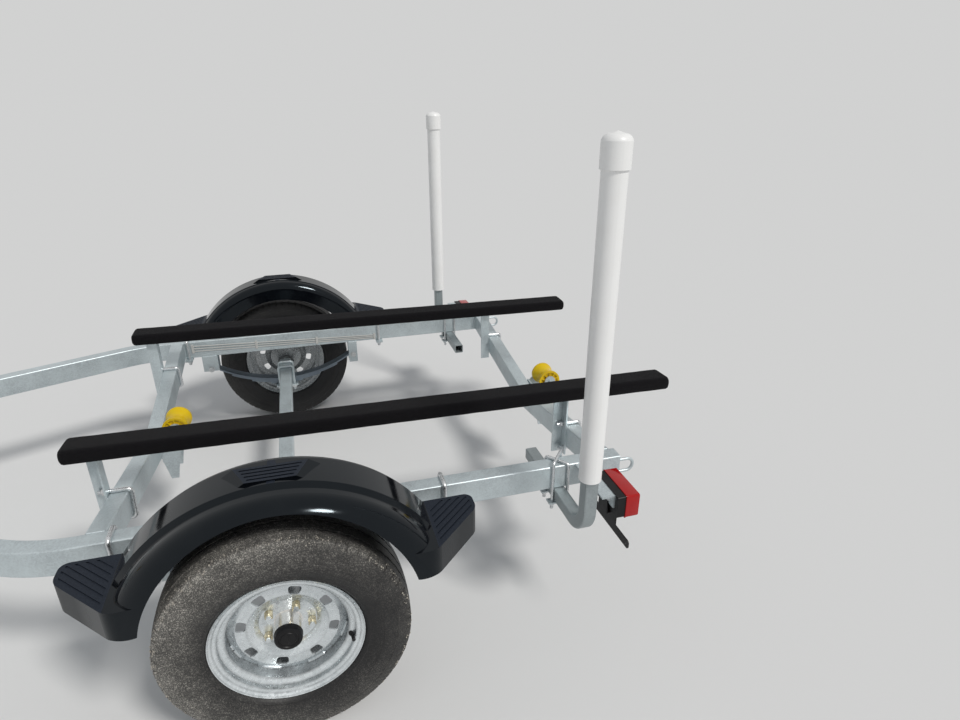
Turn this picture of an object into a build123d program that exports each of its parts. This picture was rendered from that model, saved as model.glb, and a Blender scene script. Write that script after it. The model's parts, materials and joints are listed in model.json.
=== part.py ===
from build123d import *
import os
from math import asin, atan2, cos, degrees, radians, sin, sqrt, tan

# Single-axle galvanised boat trailer with carpeted bunks, keel rollers and guide posts.
# Millimetres. +X is forward, +Y is the trailer's left side, +Z is up, the floor is z = 0.
# The origin lies on the floor, midway along the length and on the centre line.

os.makedirs("parts", exist_ok=True)

SIDES = (("left", 1), ("right", -1))
ENDS = (("front", 1), ("rear", -1))

# Clearances
fit_gap = 0.3            # between a bar or bolt and the piece it passes
shaft_gap = 0.05         # radial, round a turning shaft
swing_gap = 6.0          # between a moving piece and what stands beside it

# Overall places, measured forward from the axle
coupler_reach = 3400
rear_overhang = 1291
axle_x = (rear_overhang - coupler_reach) / 2

# Wheels and tyres
tyre_radius = 302
tyre_width = 177
tyre_tread_width = 138
tyre_grooves = 3
groove_width = 7
groove_depth = 7
wheel_y = 896            # middle of the tyre, from the centre line
rim_seat_radius = 165
rim_flange_radius = 182.5
rim_width = 136
rim_wall = 3.5
rim_curl = 8             # how far the flange leans outward
rim_foot = 10            # height of the flange's foot over the bead seat
rim_seat_width = 11
rim_drop_radius = 148
rim_drop_slope = 8
rim_drop_offset = 26     # the well lies this much nearer to the inner flange
disc_flat_radius = 70
disc_ring = 9            # raised ring round the studs, over the mounting face
disc_ring_radius = 80
disc_bulge = 19
disc_bulge_radius = 98
disc_bulge_width = 26
disc_edge = 9            # where the disc meets the rim, over the mounting face
tread_drop = 5
disc_wall = 4.5
hand_hole_count = 8
hand_hole_length = 34    # round the wheel
hand_hole_height = 24
hand_hole_taper = 4      # how much narrower each side is at the inner edge
hand_hole_corner = 7
hand_hole_circle = 111
hand_hole_start = 14     # turn of the first hole, in degrees, from forward towards up
stud_count = 5
stud_start = 43
stud_circle_radius = 57.15
stud_radius = 6.35
stud_length = 25
hub_flange_radius = 72
hub_flange_thickness = 10
hub_barrel_radius = 38
hub_barrel_length = 74
hub_nose_radius = 32
hub_nose_length = 58
hub_cap_radius = 34.5
hub_cap_length = 18
hub_cap_wall = 4.5
hub_cap_edge = 3
spindle_radius = 17.5
spindle_bare_length = 29.5   # between the axle tube and the hub

# Frame tubes
rail_width = 50.8
rail_height = 76.2
tube_wall = 3.0
tube_corner = 5.0
rail_bottom_z = 422
rail_outer_y = 719
rail_rear = -990         # from the axle
rail_bend_start = 490    # from the axle
rail_bend_radius = 400
rail_bend_angle = 24.0
front_crossmember_x = 441    # from the axle
rear_crossmember_x = -955    # from the axle
crossmember_dip = 93         # how far the middle lies below the ends
tongue_width = 76.2
tongue_rear = 1330       # from the axle
coupler_nose_length = 138    # from the tongue's front end to the coupler's tip
tongue_front = coupler_reach - coupler_nose_length

# Axle and springs
axle_size = 50.8
spring_width = 44.5
leaf_thickness = 7
leaf_count = 4
spring_half_length = 318
spring_rise = 100
leaf_step = 82           # each lower leaf is this much shorter at both ends
hanger_wall = 5
hanger_length_front = 66
hanger_length_rear = 40
spring_bolt_radius = 6.35
tie_plate_thickness = 9
tie_plate_margin = 34
hanger_drop_front = 9    # wall below the pin
hanger_drop_rear = 38
bolt_end = 22            # thread that shows past a nut plate
shaft_stub = 7           # shaft that shows past a side plate

# Fenders
fender_shift = -10       # middle of the arch, from the axle
fender_centre_z = 288
fender_radius = 425
fender_wall = 4
fender_inner_y = 768
fender_outer_y = 1000
inner_round = 34         # radius between the inner wall and the crown
inner_crease = 4         # small step up to the crown
crown_inner_y = 804
crown_outer_y = 906
crease_width = 3
channel_drop = 10        # how far the bead lies below the crown
channel_width = 15       # slope from the crown down to the bead
bead_radius = 60
fender_skirt = 84        # how far the outer wall reaches inside the crown's radius
arch_opening_z = 367     # middle of the round opening in the outer wall
arch_opening_radius = 314
fender_bottom_z = 440
step_z = 516
step_inner_y = 798
step_outer_y = 996
step_reach = 488         # step tip, from the arch's middle
step_chamfer = 134       # diagonal outer corner of the step
step_tip_corner = 22
step_outer_corner = 45
step_border = 10         # plain rim round the tread
tread_start = 368        # inner end of the tread, from the arch's middle
tread_pitch = 16
tread_first = 1216       # first groove: distance ahead plus distance outward
tread_count = 6
tread_angle = 45         # of the grooves, in degrees
groove_cut = 5           # width of the tread grooves
groove_sink = 2
pad_y = 863
pad_inner_length = 169
pad_outer_length = 113
pad_width = 64
pad_height = 3
pad_ramp = 26            # length of the sloped ends
pad_ramp_drop = 17
pad_groove_pitch = 14
pad_groove_count = 4
fender_bracket_front_x = 400     # from the axle
fender_bracket_rear_x = -445     # from the axle
fender_bracket_width = 30
fender_arm_reach = 165   # from the rail's outer face
fender_arm_tail = 34     # inner end past the rail, and the flange under the step
bracket_wall = 5

# Bunks
bunk_length = 1838
bunk_width = 95
bunk_thickness = 44
bunk_y = 449
bunk_front_z = 621       # middle of the section at the front end
bunk_rear_z = 597        # middle of the section at the rear end
bunk_cant = 2.0          # inner edge lower, in degrees
bunk_edge = 9
bunk_end_edge = 5
bunk_bracket_leg = 38
bunk_bracket_drop = 24   # how far the upright reaches below the crossmember

# Keel rollers
roller_radius = 43
roller_waist_radius = 31
roller_length = 90
roller_shaft_radius = 8
roller_setback = 60      # shaft behind the crossmember's rear face
roller_z = 440
roller_boss_radius = 15
roller_dish = 6          # depth of the recess in each end
roller_rib_count = 10
roller_rib_width = 3.5
ear_wall = 5
roller_bracket_tip_z = 250
roller_plate_margin = 20
roller_rim = 8
shaft_end = 11           # shaft past the outer ear
ear_depth = 56
ear_tip_inset = 16
ear_head_radius = 22

# Guide posts
guide_x = -797           # from the axle
guide_y = 905
guide_tube = 38
guide_bend_radius = 70
guide_inner_y = 481      # inner open end of the horizontal tube
sleeve_radius = 30.15
sleeve_wall = 3.9
sleeve_bottom_z = 575
cap_radius = 34.5
cap_height = 78
cap_dome = 20
cap_crown = 5            # rise over the cap's rounded edge
guide_top_z = 1437
guide_bolt_radius = 4.75

# Tail lamps, plate bracket and tie-down eyes
lamp_length = 142
lamp_height = 72
lamp_base_depth = 24
lamp_lens_depth = 42
lamp_inner_y = 774
lamp_top_z = 502
lamp_rear = -950         # rear face of the lens, from the axle
lamp_bracket_leg = 40
lamp_bracket_reach = 178     # from the rail's outer face
lamp_bracket_drop = 5        # below the lamp's top
lamp_edge = 6
lens_edge = 3
lamp_base_inset = 2
plate_strap_width = 50
plate_strap_gap = 8      # strap's bend below the lamp
plate_bar_z = 360
guide_plate_margin = 26
plate_hole_spacing = 177.8
plate_hole_radius = 3.5
plate_bar_height = 26
plate_bar_corner = 9
plate_bar_thickness = 3
eye_bar_radius = 5
eye_span = 42
eye_reach = 63
eye_drop = 14            # middle of the loop, below the rail's middle
eye_cap_thickness = 4

# Lamp wires along the right rail
wire_radius = 2.2
wire_count = 3
wire_end_gap = 20        # between a fender bracket and the wires' end
wire_front_z = 478       # top wire at its front end
wire_front_pitch = 12
wire_rear_z = 447        # top wire at its rear end
wire_rear_pitch = 7
wire_clip_count = 4
wire_clip_width = 10
wire_clip_wall = 1.5
wire_clip_margin = 6     # clip past the outer wires

# Clamping bolts
u_bolt_radius = 6.35

# Winch post, winch and bow stop
post_x = 2760            # from the axle
post_size = 63.5
post_top_z = 975
saddle_length = 150
saddle_ear = 26          # the saddle plate is this much wider than the tongue on each side
saddle_bolt_spacing = 96
saddle_wall = 6
winch_side_spacing = 84
winch_wall = 4
winch_length = 150
winch_height = 118
drum_radius = 20
drum_shaft_radius = 9
drum_gear_radius = 46
drum_gear_width = 8
drum_flange_radius = 40
drum_flange_wall = 3
crank_shaft_radius = 8
pinion_radius = 11.5
gear_mesh_gap = 1.0
crank_arm = 205
crank_arm_width = 26
crank_grip_radius = 15
crank_grip_length = 110
bow_arm_reach = 150
bow_stop_z = 880
bow_arm_height = 50
bow_stop_height = 110
bow_stop_width = 130
bow_stop_depth = 90
bow_stop_notch = 30
winch_corner = 14
latch_setback = 10
latch_height = 26
latch_length = 92
latch_width = 24
jack_crank_arm = 120

# Coupler
ball_radius = 25.4
ball_z = 462
coupler_wall = 4.5
coupler_sleeve_length = 150
coupler_nose_radius = 38
coupler_height = 62

# Tongue jack
jack_x = 2985            # from the axle
jack_side_gap = 26
jack_tube_radius = 28
jack_tube_wall = 3
jack_tube_below = 232    # reach below the pivot
jack_tube_above = 170
jack_pivot_z = 460
jack_pivot_radius = 22
jack_mount_size = 118
jack_leg_length = 330
jack_leg_bottom_z = 178
jack_wheel_radius = 76
jack_wheel_width = 44
jack_trail = 28
fork_wall = 5
jack_axle_radius = 6.35

# Places worked out from the sizes above
rail_top_z = rail_bottom_z + rail_height
rail_inner_y = rail_outer_y - rail_width
rail_centre_y = rail_outer_y - rail_width / 2
rail_centre_z = rail_bottom_z + rail_height / 2
axle_z = tyre_radius
spring_y = rail_centre_y
dip_angle = degrees(atan2(crossmember_dip, rail_inner_y))
rail_clamp_span = rail_width + 2 * (u_bolt_radius + fit_gap)
saddle_bolt_span = tongue_width + 2 * (u_bolt_radius + fit_gap)
face_gap = fit_gap / 3   # between faces that bear on each other


def finish(piece, label):
    piece.part.label = label
    export_step(piece.part, f"parts/{label}.step")


def side_plane(y):
    """Upright plane along the trailer: sketch x is forward, sketch y is up, normal to the right."""
    return Plane(origin=(0, y, 0), x_dir=(1, 0, 0), z_dir=(0, -1, 0))


def cross_plane(x):
    """Upright plane across the trailer: sketch x is to the left, sketch y is up, normal forward."""
    return Plane(origin=(x, 0, 0), x_dir=(0, 1, 0), z_dir=(1, 0, 0))


def tube_section(width, height, wall=tube_wall, corner=tube_corner):
    RectangleRounded(width, height, corner)
    RectangleRounded(width - 2 * wall, height - 2 * wall, corner - wall / 2, mode=Mode.SUBTRACT)


def square_u_bolt(plane, span, reach, bar_radius, bend):
    """A bent round bar: its base runs along the plane's x, its legs along the plane's -y."""
    with BuildPart(mode=Mode.PRIVATE) as bolt:
        with BuildLine(plane) as bar:
            FilletPolyline(
                (-span / 2, -reach), (-span / 2, 0), (span / 2, 0), (span / 2, -reach), radius=bend
            )
        with BuildSketch(Plane(origin=bar.line @ 0, z_dir=bar.line % 0)):
            Circle(bar_radius)
        sweep()
    return bolt.part


def crossmember_z(y):
    """Height of a crossmember's top face at a place across the trailer."""
    return rail_top_z - crossmember_dip * (1 - abs(y) / rail_inner_y)


# Side rails: straight beside the wheels, then bent in to meet the tongue
for side, sign in SIDES:
    with BuildPart() as side_rail:
        with BuildLine(Plane.XY.offset(rail_centre_z)) as rail_path:
            straight = Line(
                (axle_x + rail_rear, sign * rail_centre_y), (axle_x + rail_bend_start, sign * rail_centre_y)
            )
            bend = JernArc(straight @ 1, straight % 1, rail_bend_radius, -sign * rail_bend_angle)
            run_in = rail_centre_y / sin(radians(rail_bend_angle))
            Line(bend @ 1, (bend @ 1) + (bend % 1) * run_in)
        with BuildSketch(Plane(origin=rail_path.line @ 0, x_dir=(0, 1, 0), z_dir=rail_path.line % 0)):
            tube_section(rail_width, rail_height)
        sweep()
        tongue_face = Plane(origin=(0, sign * tongue_width / 2, 0), z_dir=(0, sign, 0))
        split(bisect_by=tongue_face, keep=Keep.TOP)
    finish(side_rail, f"side_rail_{side}")

# Tongue
with BuildPart() as tongue:
    with BuildSketch(cross_plane(axle_x + tongue_rear)):
        with Locations((0, rail_centre_z)):
            tube_section(tongue_width, rail_height)
    extrude(amount=tongue_front - tongue_rear)
finish(tongue, "tongue")

# Crossmember that carries the tongue's rear end, between the bent-in rails
rail_slope = tan(radians(rail_bend_angle))
bend_end_x = rail_bend_start + rail_bend_radius * sin(radians(rail_bend_angle))
bend_end_y = rail_centre_y - rail_bend_radius * (1 - cos(radians(rail_bend_angle)))


def rail_inner_face_y(x):
    """Distance of the bent-in rail's inner face from the centre line, x ahead of the axle."""
    return bend_end_y - (x - bend_end_x) * rail_slope - rail_width / 2 / cos(radians(rail_bend_angle))


tongue_cross_front = tongue_rear
tongue_cross_rear = tongue_rear - rail_width
with BuildPart() as tongue_crossmember:
    with BuildSketch(Plane.XY.offset(rail_bottom_z)):
        with BuildLine():
            Polyline(
                (axle_x + tongue_cross_rear, -rail_inner_face_y(tongue_cross_rear)),
                (axle_x + tongue_cross_front, -rail_inner_face_y(tongue_cross_front)),
                (axle_x + tongue_cross_front, rail_inner_face_y(tongue_cross_front)),
                (axle_x + tongue_cross_rear, rail_inner_face_y(tongue_cross_rear)),
                close=True,
            )
        make_face()
    extrude(amount=rail_height)
    bore_x = axle_x + tongue_rear - rail_width / 2
    with BuildSketch(Plane(origin=(bore_x, 0, rail_centre_z), x_dir=(1, 0, 0), z_dir=(0, 1, 0))):
        RectangleRounded(rail_width - 2 * tube_wall, rail_height - 2 * tube_wall, tube_wall)
    extrude(amount=rail_outer_y, both=True, mode=Mode.SUBTRACT)
finish(tongue_crossmember, "tongue_crossmember")

# Crossmembers: box tubes dipped in the middle for the keel
for end, place_x in (("front", front_crossmember_x), ("rear", rear_crossmember_x)):
    with BuildPart() as crossmember:
        for inset, mode in ((0, Mode.ADD), (tube_wall, Mode.SUBTRACT)):
            with BuildSketch(Plane(origin=(axle_x + place_x, 0, 0), x_dir=(0, 1, 0), z_dir=(1, 0, 0))):
                with BuildLine():
                    Polyline(
                        (-rail_inner_y, rail_top_z - inset),
                        (0, rail_top_z - crossmember_dip - inset),
                        (rail_inner_y, rail_top_z - inset),
                        (rail_inner_y, rail_bottom_z + inset),
                        (0, rail_bottom_z - crossmember_dip + inset),
                        (-rail_inner_y, rail_bottom_z + inset),
                        close=True,
                    )
                make_face()
            extrude(amount=rail_width / 2 - inset, both=True, mode=mode)
            if mode == Mode.ADD:
                long_edges = crossmember.edges().filter_by(lambda edge: edge.length > rail_inner_y / 2)
                fillet(long_edges, tube_corner)
    finish(crossmember, f"{end}_crossmember")

# Axle: square tube with a stub spindle at each end
hub_flange_y = wheel_y - disc_wall - hub_flange_thickness
hub_back_y = hub_flange_y - hub_barrel_length
axle_tube_half_length = hub_back_y - spindle_bare_length
with BuildPart() as axle:
    with BuildSketch(Plane(origin=(axle_x, 0, axle_z), x_dir=(1, 0, 0), z_dir=(0, 1, 0))):
        tube_section(axle_size, axle_size)
    extrude(amount=axle_tube_half_length, both=True)
    for sign in (1, -1):
        plug_start = (axle_x, sign * (axle_tube_half_length - spring_width), axle_z)
        with BuildSketch(Plane(origin=plug_start, z_dir=(0, sign, 0))):
            Rectangle(axle_size - 2 * tube_wall, axle_size - 2 * tube_wall)
        extrude(amount=spring_width)
        with BuildSketch(Plane(origin=(axle_x, sign * axle_tube_half_length, axle_z), z_dir=(0, sign, 0))):
            Circle(spindle_radius)
        extrude(amount=wheel_y - axle_tube_half_length)
finish(axle, "axle")

# Leaf springs under the axle, with their hangers, U-bolts and tie plates
spring_arc = (spring_half_length**2 + spring_rise**2) / (2 * spring_rise)
seat_rise = spring_arc - sqrt(spring_arc**2 - (axle_size / 2) ** 2)
spring_top_z = axle_z - axle_size / 2 - seat_rise - face_gap
pack_bottom_z = spring_top_z - leaf_count * leaf_thickness
for side, sign in SIDES:
    with BuildPart() as leaf_spring:
        for leaf in range(leaf_count):
            reach = spring_half_length - leaf * leaf_step * (leaf > 0)
            inner_radius = spring_arc + leaf * leaf_thickness
            half_angle = degrees(asin(reach / inner_radius))
            leaf_plane = Plane(
                origin=(axle_x, sign * spring_y - spring_width / 2, spring_top_z + spring_arc),
                x_dir=(1, 0, 0),
                z_dir=(0, 1, 0),
            )
            with BuildSketch(leaf_plane):
                with BuildLine():
                    upper = CenterArc((0, 0), inner_radius, 90 - half_angle, 2 * half_angle)
                    lower = CenterArc((0, 0), inner_radius + leaf_thickness, 90 - half_angle, 2 * half_angle)
                    Line(upper @ 0, lower @ 0)
                    Line(upper @ 1, lower @ 1)
                make_face()
            extrude(amount=spring_width)
    finish(leaf_spring, f"leaf_spring_{side}")

# Spring hangers under the rails: a short channel in front, a deeper slipper behind
pin_arc = spring_arc + leaf_thickness + spring_bolt_radius + fit_gap
hanger_pin_z = spring_top_z + spring_arc - sqrt(pin_arc**2 - spring_half_length**2)
hanger_sizes = {
    "front": (hanger_drop_front, hanger_length_front),
    "rear": (hanger_drop_rear, hanger_length_rear),
}
with BuildPart() as spring_hangers:
    for side, sign in SIDES:
        for end, way in ENDS:
            hanger_x = axle_x + way * spring_half_length
            below_pin, hanger_length = hanger_sizes[end]
            hanger_drop = rail_bottom_z - hanger_pin_z + below_pin
            hanger_top = (hanger_x, sign * spring_y, rail_bottom_z)
            inner_top = (hanger_x, sign * spring_y, rail_bottom_z - hanger_wall)
            with BuildSketch(Plane(origin=hanger_top, z_dir=(0, 0, -1))):
                Rectangle(hanger_length, spring_width + 2 * fit_gap + 2 * hanger_wall)
            extrude(amount=hanger_drop)
            with BuildSketch(Plane(origin=inner_top, z_dir=(0, 0, -1))):
                Rectangle(hanger_length, spring_width + 2 * fit_gap)
            extrude(amount=hanger_drop, mode=Mode.SUBTRACT)
            with BuildSketch(Plane(origin=(hanger_x, sign * spring_y, hanger_pin_z), z_dir=(0, 1, 0))):
                Circle(spring_bolt_radius)
            extrude(amount=spring_width / 2 + fit_gap + hanger_wall, both=True)
finish(spring_hangers, "spring_hangers")

# U-bolts over the axle with the tie plates below the springs
tie_plate_z = pack_bottom_z - tie_plate_thickness
axle_bolt_span = axle_size + 2 * (u_bolt_radius + fit_gap)
axle_bolt_offset = spring_width / 2 + u_bolt_radius + fit_gap
with BuildPart() as axle_clamps:
    for side, sign in SIDES:
        with BuildSketch(Plane(origin=(axle_x, sign * spring_y, tie_plate_z))):
            RectangleRounded(
                axle_bolt_span + tie_plate_margin, 2 * axle_bolt_offset + tie_plate_margin, tube_corner
            )
            with GridLocations(axle_bolt_span, 2 * axle_bolt_offset, 2, 2):
                Circle(u_bolt_radius + fit_gap, mode=Mode.SUBTRACT)
        extrude(amount=tie_plate_thickness - face_gap)
        for step in (1, -1):
            over_axle_z = axle_z + axle_size / 2 + u_bolt_radius + fit_gap
            bolt_plane = Plane(
                origin=(axle_x, sign * spring_y + step * axle_bolt_offset, over_axle_z),
                x_dir=(1, 0, 0),
                z_dir=(0, -1, 0),
            )
            bolt_reach = axle_z + axle_size / 2 + u_bolt_radius - tie_plate_z + bolt_end
            bolt_bend = u_bolt_radius + tube_corner
            add(square_u_bolt(bolt_plane, axle_bolt_span, bolt_reach, u_bolt_radius, bolt_bend))
finish(axle_clamps, "axle_clamps")

# Fenders: a moulded arch with an outer bead, a step at each end and a tread pad on the crown
arch_x = axle_x + fender_shift
arch_plane = Plane(origin=(arch_x, 0, fender_centre_z), x_dir=(0, 1, 0), z_dir=(1, 0, 0))
arch_axis = Axis((arch_x, 0, fender_centre_z), (0, 1, 0))


def fender_section(inset):
    """Half section of the arch, in (y, radius): inner wall, crown, slope, bead and outer wall."""
    lip_radius = 0 if inset else fender_radius - fender_skirt
    round_y = fender_inner_y + inner_round
    round_r = fender_radius - inner_crease - inner_round
    bead_y = fender_outer_y - bead_radius
    bead_r = fender_radius - channel_drop - bead_radius
    bead_turn = 90 if inset else 90 - degrees(asin((lip_radius - bead_r) / bead_radius))
    with BuildSketch(arch_plane, mode=Mode.PRIVATE) as section:
        with BuildLine():
            wall = Line((fender_inner_y + inset, lip_radius), (fender_inner_y + inset, round_r))
            shoulder = CenterArc((round_y, round_r), inner_round - inset, 180, -90)
            crown = Polyline(
                shoulder @ 1,
                (crown_inner_y + crease_width, fender_radius - inset),
                (crown_outer_y, fender_radius - inset),
                (crown_outer_y + channel_width, fender_radius - channel_drop - inset),
                (bead_y, fender_radius - channel_drop - inset),
            )
            bead = CenterArc((bead_y, bead_r), bead_radius - inset, 90, -bead_turn)
            below = [((bead @ 1).X, lip_radius)] if inset else []
            Polyline(bead @ 1, *below, wall @ 0)
        make_face()
    return section.sketch


def step_outline(inset):
    """Plan of both steps together: straight inboard, with a diagonal outer corner at each end."""
    reach = step_reach - inset
    outer = step_outer_y - inset
    diagonal = step_chamfer - inset * (2 - sqrt(2))
    corners = {}
    for way in (1, -1):
        corners[way] = (
            (arch_x + way * (reach - diagonal), outer),
            (arch_x + way * reach, outer - diagonal),
            (arch_x + way * reach, step_inner_y + inset),
        )
    with BuildSketch(Plane.XY.offset(fender_bottom_z), mode=Mode.PRIVATE) as outline:
        with BuildLine():
            FilletPolyline(
                *corners[1],
                *reversed(corners[-1]),
                radius=[
                    step_outer_corner, step_outer_corner, step_tip_corner,
                    step_tip_corner, step_outer_corner, step_outer_corner,
                ],
                close=True,
            )
        make_face()
    return outline.sketch


with BuildPart() as fender_left:
    extrude(step_outline(0), amount=step_z - fender_bottom_z)
    revolve(fender_section(0), axis=arch_axis)
    # Pad: a flat trapezoid over the crown, sloped down at both ends
    pad_top_z = fender_centre_z + fender_radius + pad_height
    for level, longer in ((pad_top_z, 0), (pad_top_z - pad_ramp_drop, pad_ramp)):
        with BuildSketch(Plane(origin=(arch_x, pad_y, level))):
            with BuildLine():
                Polyline(
                    (-pad_inner_length / 2 - longer, -pad_width / 2),
                    (pad_inner_length / 2 + longer, -pad_width / 2),
                    (pad_outer_length / 2 + longer, pad_width / 2),
                    (-pad_outer_length / 2 - longer, pad_width / 2),
                    close=True,
                )
            make_face()
    loft()
    revolve(fender_section(fender_wall), axis=arch_axis, mode=Mode.SUBTRACT)
    extrude(step_outline(fender_wall), amount=step_z - fender_wall - fender_bottom_z, mode=Mode.SUBTRACT)
    split(bisect_by=Plane.XY.offset(fender_bottom_z), keep=Keep.TOP)
    # Round opening in the outer wall, lower than the crown's own circle at both ends
    with BuildSketch(Plane(origin=(arch_x, fender_outer_y, arch_opening_z), z_dir=(0, -1, 0))):
        Circle(arch_opening_radius)
    extrude(amount=bead_radius, mode=Mode.SUBTRACT)
    # Grooves along the pad
    with BuildSketch(Plane(origin=(arch_x, pad_y, pad_top_z))):
        for groove in range(pad_groove_count):
            across = (groove - (pad_groove_count - 1) / 2) * pad_groove_pitch
            taper = (pad_outer_length - pad_inner_length) / pad_width
            groove_length = (pad_inner_length + pad_outer_length) / 2 + taper * across - 2 * step_border
            with Locations((0, across)):
                Rectangle(groove_length, groove_cut)
    extrude(amount=-groove_sink, mode=Mode.SUBTRACT)
    # Grooves across the step treads, at 45 degrees
    for way in (1, -1):
        with BuildSketch(Plane(origin=(0, 0, step_z))):
            for groove in range(tread_count):
                along = tread_first + groove * tread_pitch * sqrt(2)
                with Locations(Location((arch_x + way * along / 2, along / 2), -way * tread_angle)):
                    Rectangle(2 * step_reach, groove_cut)
            top_outline = step_outline(0).moved(Location((0, 0, step_z - fender_bottom_z)))
            add(offset(top_outline, -step_border, mode=Mode.PRIVATE), mode=Mode.INTERSECT)
            with Locations((arch_x - way * (step_reach - tread_start) / 2, step_inner_y)):
                Rectangle(step_reach + tread_start, 2 * step_outer_y, mode=Mode.SUBTRACT)
        extrude(amount=-groove_sink, mode=Mode.SUBTRACT)
finish(fender_left, "fender_left")

with BuildPart() as fender_right:
    mirror(fender_left.part, about=Plane.XZ)
finish(fender_right, "fender_right")

clamp_bolts = []         # plane, span, reach and bar radius of every clamping bolt on the frame

# Brackets under the rails that reach out and up to the fender steps
arm_outer_y = rail_outer_y + fender_arm_reach
rail_clamp_z = rail_top_z + u_bolt_radius + fit_gap
rail_clamp_reach = rail_height + u_bolt_radius + fit_gap + bracket_wall + bolt_end
with BuildPart() as fender_brackets:
    for side, sign in SIDES:
        for place_x in (fender_bracket_front_x, fender_bracket_rear_x):
            bracket_x = axle_x + place_x
            over_rail = Plane(
                origin=(bracket_x, sign * rail_centre_y, rail_clamp_z), x_dir=(0, 1, 0), z_dir=(1, 0, 0)
            )
            clamp_bolts.append((over_rail, rail_clamp_span, rail_clamp_reach, u_bolt_radius))
            with BuildSketch(Plane(origin=(bracket_x, 0, 0), x_dir=(0, 1, 0), z_dir=(1, 0, 0))):
                with BuildLine():
                    Polyline(
                        (sign * (rail_inner_y - fender_arm_tail), rail_bottom_z),
                        (sign * (arm_outer_y - bracket_wall), rail_bottom_z),
                        (sign * (arm_outer_y - bracket_wall), step_z - fender_wall - bracket_wall),
                        (sign * (arm_outer_y - fender_arm_tail), step_z - fender_wall - bracket_wall),
                        (sign * (arm_outer_y - fender_arm_tail), step_z - fender_wall),
                        (sign * arm_outer_y, step_z - fender_wall),
                        (sign * arm_outer_y, rail_bottom_z - bracket_wall),
                        (sign * (rail_inner_y - fender_arm_tail), rail_bottom_z - bracket_wall),
                        close=True,
                    )
                make_face()
            extrude(amount=fender_bracket_width / 2, both=True)
            with BuildSketch(Plane(origin=(bracket_x, sign * rail_centre_y, rail_bottom_z - bracket_wall))):
                with GridLocations(0, rail_clamp_span, 1, 2):
                    Circle(u_bolt_radius + fit_gap)
            extrude(amount=bracket_wall, mode=Mode.SUBTRACT)
finish(fender_brackets, "fender_brackets")

# Bunks: carpeted boards, tipped down towards the rear and towards the keel
bunk_middle_x = axle_x - rear_overhang + bunk_length / 2
bunk_slope = degrees(asin((bunk_front_z - bunk_rear_z) / bunk_length))


def bunk_plane(sign):
    """Section plane at the bunk's middle: x to the trailer's left, y up, z forward."""
    along = Vector(cos(radians(bunk_slope)), 0, sin(radians(bunk_slope)))
    across = Vector(0, cos(radians(bunk_cant)), sign * sin(radians(bunk_cant)))
    across = across - along * across.dot(along)
    return Plane(
        origin=(bunk_middle_x, sign * bunk_y, (bunk_front_z + bunk_rear_z) / 2), x_dir=across, z_dir=along
    )


for side, sign in SIDES:
    with BuildPart() as bunk:
        with BuildSketch(bunk_plane(sign)):
            RectangleRounded(bunk_width, bunk_thickness, bunk_edge)
        extrude(amount=bunk_length / 2, both=True)
        fillet(bunk.faces().sort_by(Axis.X)[0].edges(), bunk_end_edge)
        fillet(bunk.faces().sort_by(Axis.X)[-1].edges(), bunk_end_edge)
    finish(bunk, f"bunk_{side}")

# Bunk brackets: upright angles clamped to the front faces of the crossmembers
for end, place_x in (("front", front_crossmember_x), ("rear", rear_crossmember_x)):
    face_x = axle_x + place_x + rail_width / 2
    corner_y = bunk_y - bunk_bracket_leg / 2
    tube_z = crossmember_z(bunk_y) - rail_height / 2
    foot_z = crossmember_z(bunk_y - bunk_bracket_leg / 2) - rail_height - bunk_bracket_drop
    with BuildPart() as bunk_brackets:
        for side, sign in SIDES:
            with BuildSketch(Plane.XY.offset(foot_z)):
                with BuildLine():
                    Polyline(
                        (face_x, sign * corner_y),
                        (face_x + bunk_bracket_leg, sign * corner_y),
                        (face_x + bunk_bracket_leg, sign * (corner_y + bracket_wall)),
                        (face_x + bracket_wall, sign * (corner_y + bracket_wall)),
                        (face_x + bracket_wall, sign * (corner_y + bunk_bracket_leg)),
                        (face_x, sign * (corner_y + bunk_bracket_leg)),
                        close=True,
                    )
                make_face()
            extrude(amount=bunk_front_z - foot_z)
            lean = sign * radians(dip_angle)
            clamp_plane = Plane(
                origin=(axle_x + place_x - rail_width / 2 - u_bolt_radius - fit_gap, sign * bunk_y, tube_z),
                x_dir=(0, -sin(lean), cos(lean)),
                z_dir=(0, -cos(lean), -sin(lean)),
            )
            clamp_span = rail_height * cos(lean) + 2 * (u_bolt_radius + fit_gap)
            clamp_reach = rail_width + u_bolt_radius + fit_gap + bracket_wall + bolt_end
            clamp_bolts.append((clamp_plane, clamp_span, clamp_reach, u_bolt_radius))
            with BuildSketch(Plane(origin=clamp_plane.origin, x_dir=clamp_plane.x_dir, z_dir=(1, 0, 0))):
                with GridLocations(clamp_span, 0, 2, 1):
                    Circle(u_bolt_radius + fit_gap)
            extrude(amount=clamp_reach, mode=Mode.SUBTRACT)
            board = bunk_plane(sign)
            underside = board.origin - board.y_dir * (bunk_thickness / 2)
            with BuildSketch(Plane(origin=underside, x_dir=board.x_dir, z_dir=board.y_dir)):
                Rectangle(bunk_width * 2, bunk_length * 2)
            extrude(amount=bunk_thickness * 2, mode=Mode.SUBTRACT)
    finish(bunk_brackets, f"bunk_brackets_{end}")

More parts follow.
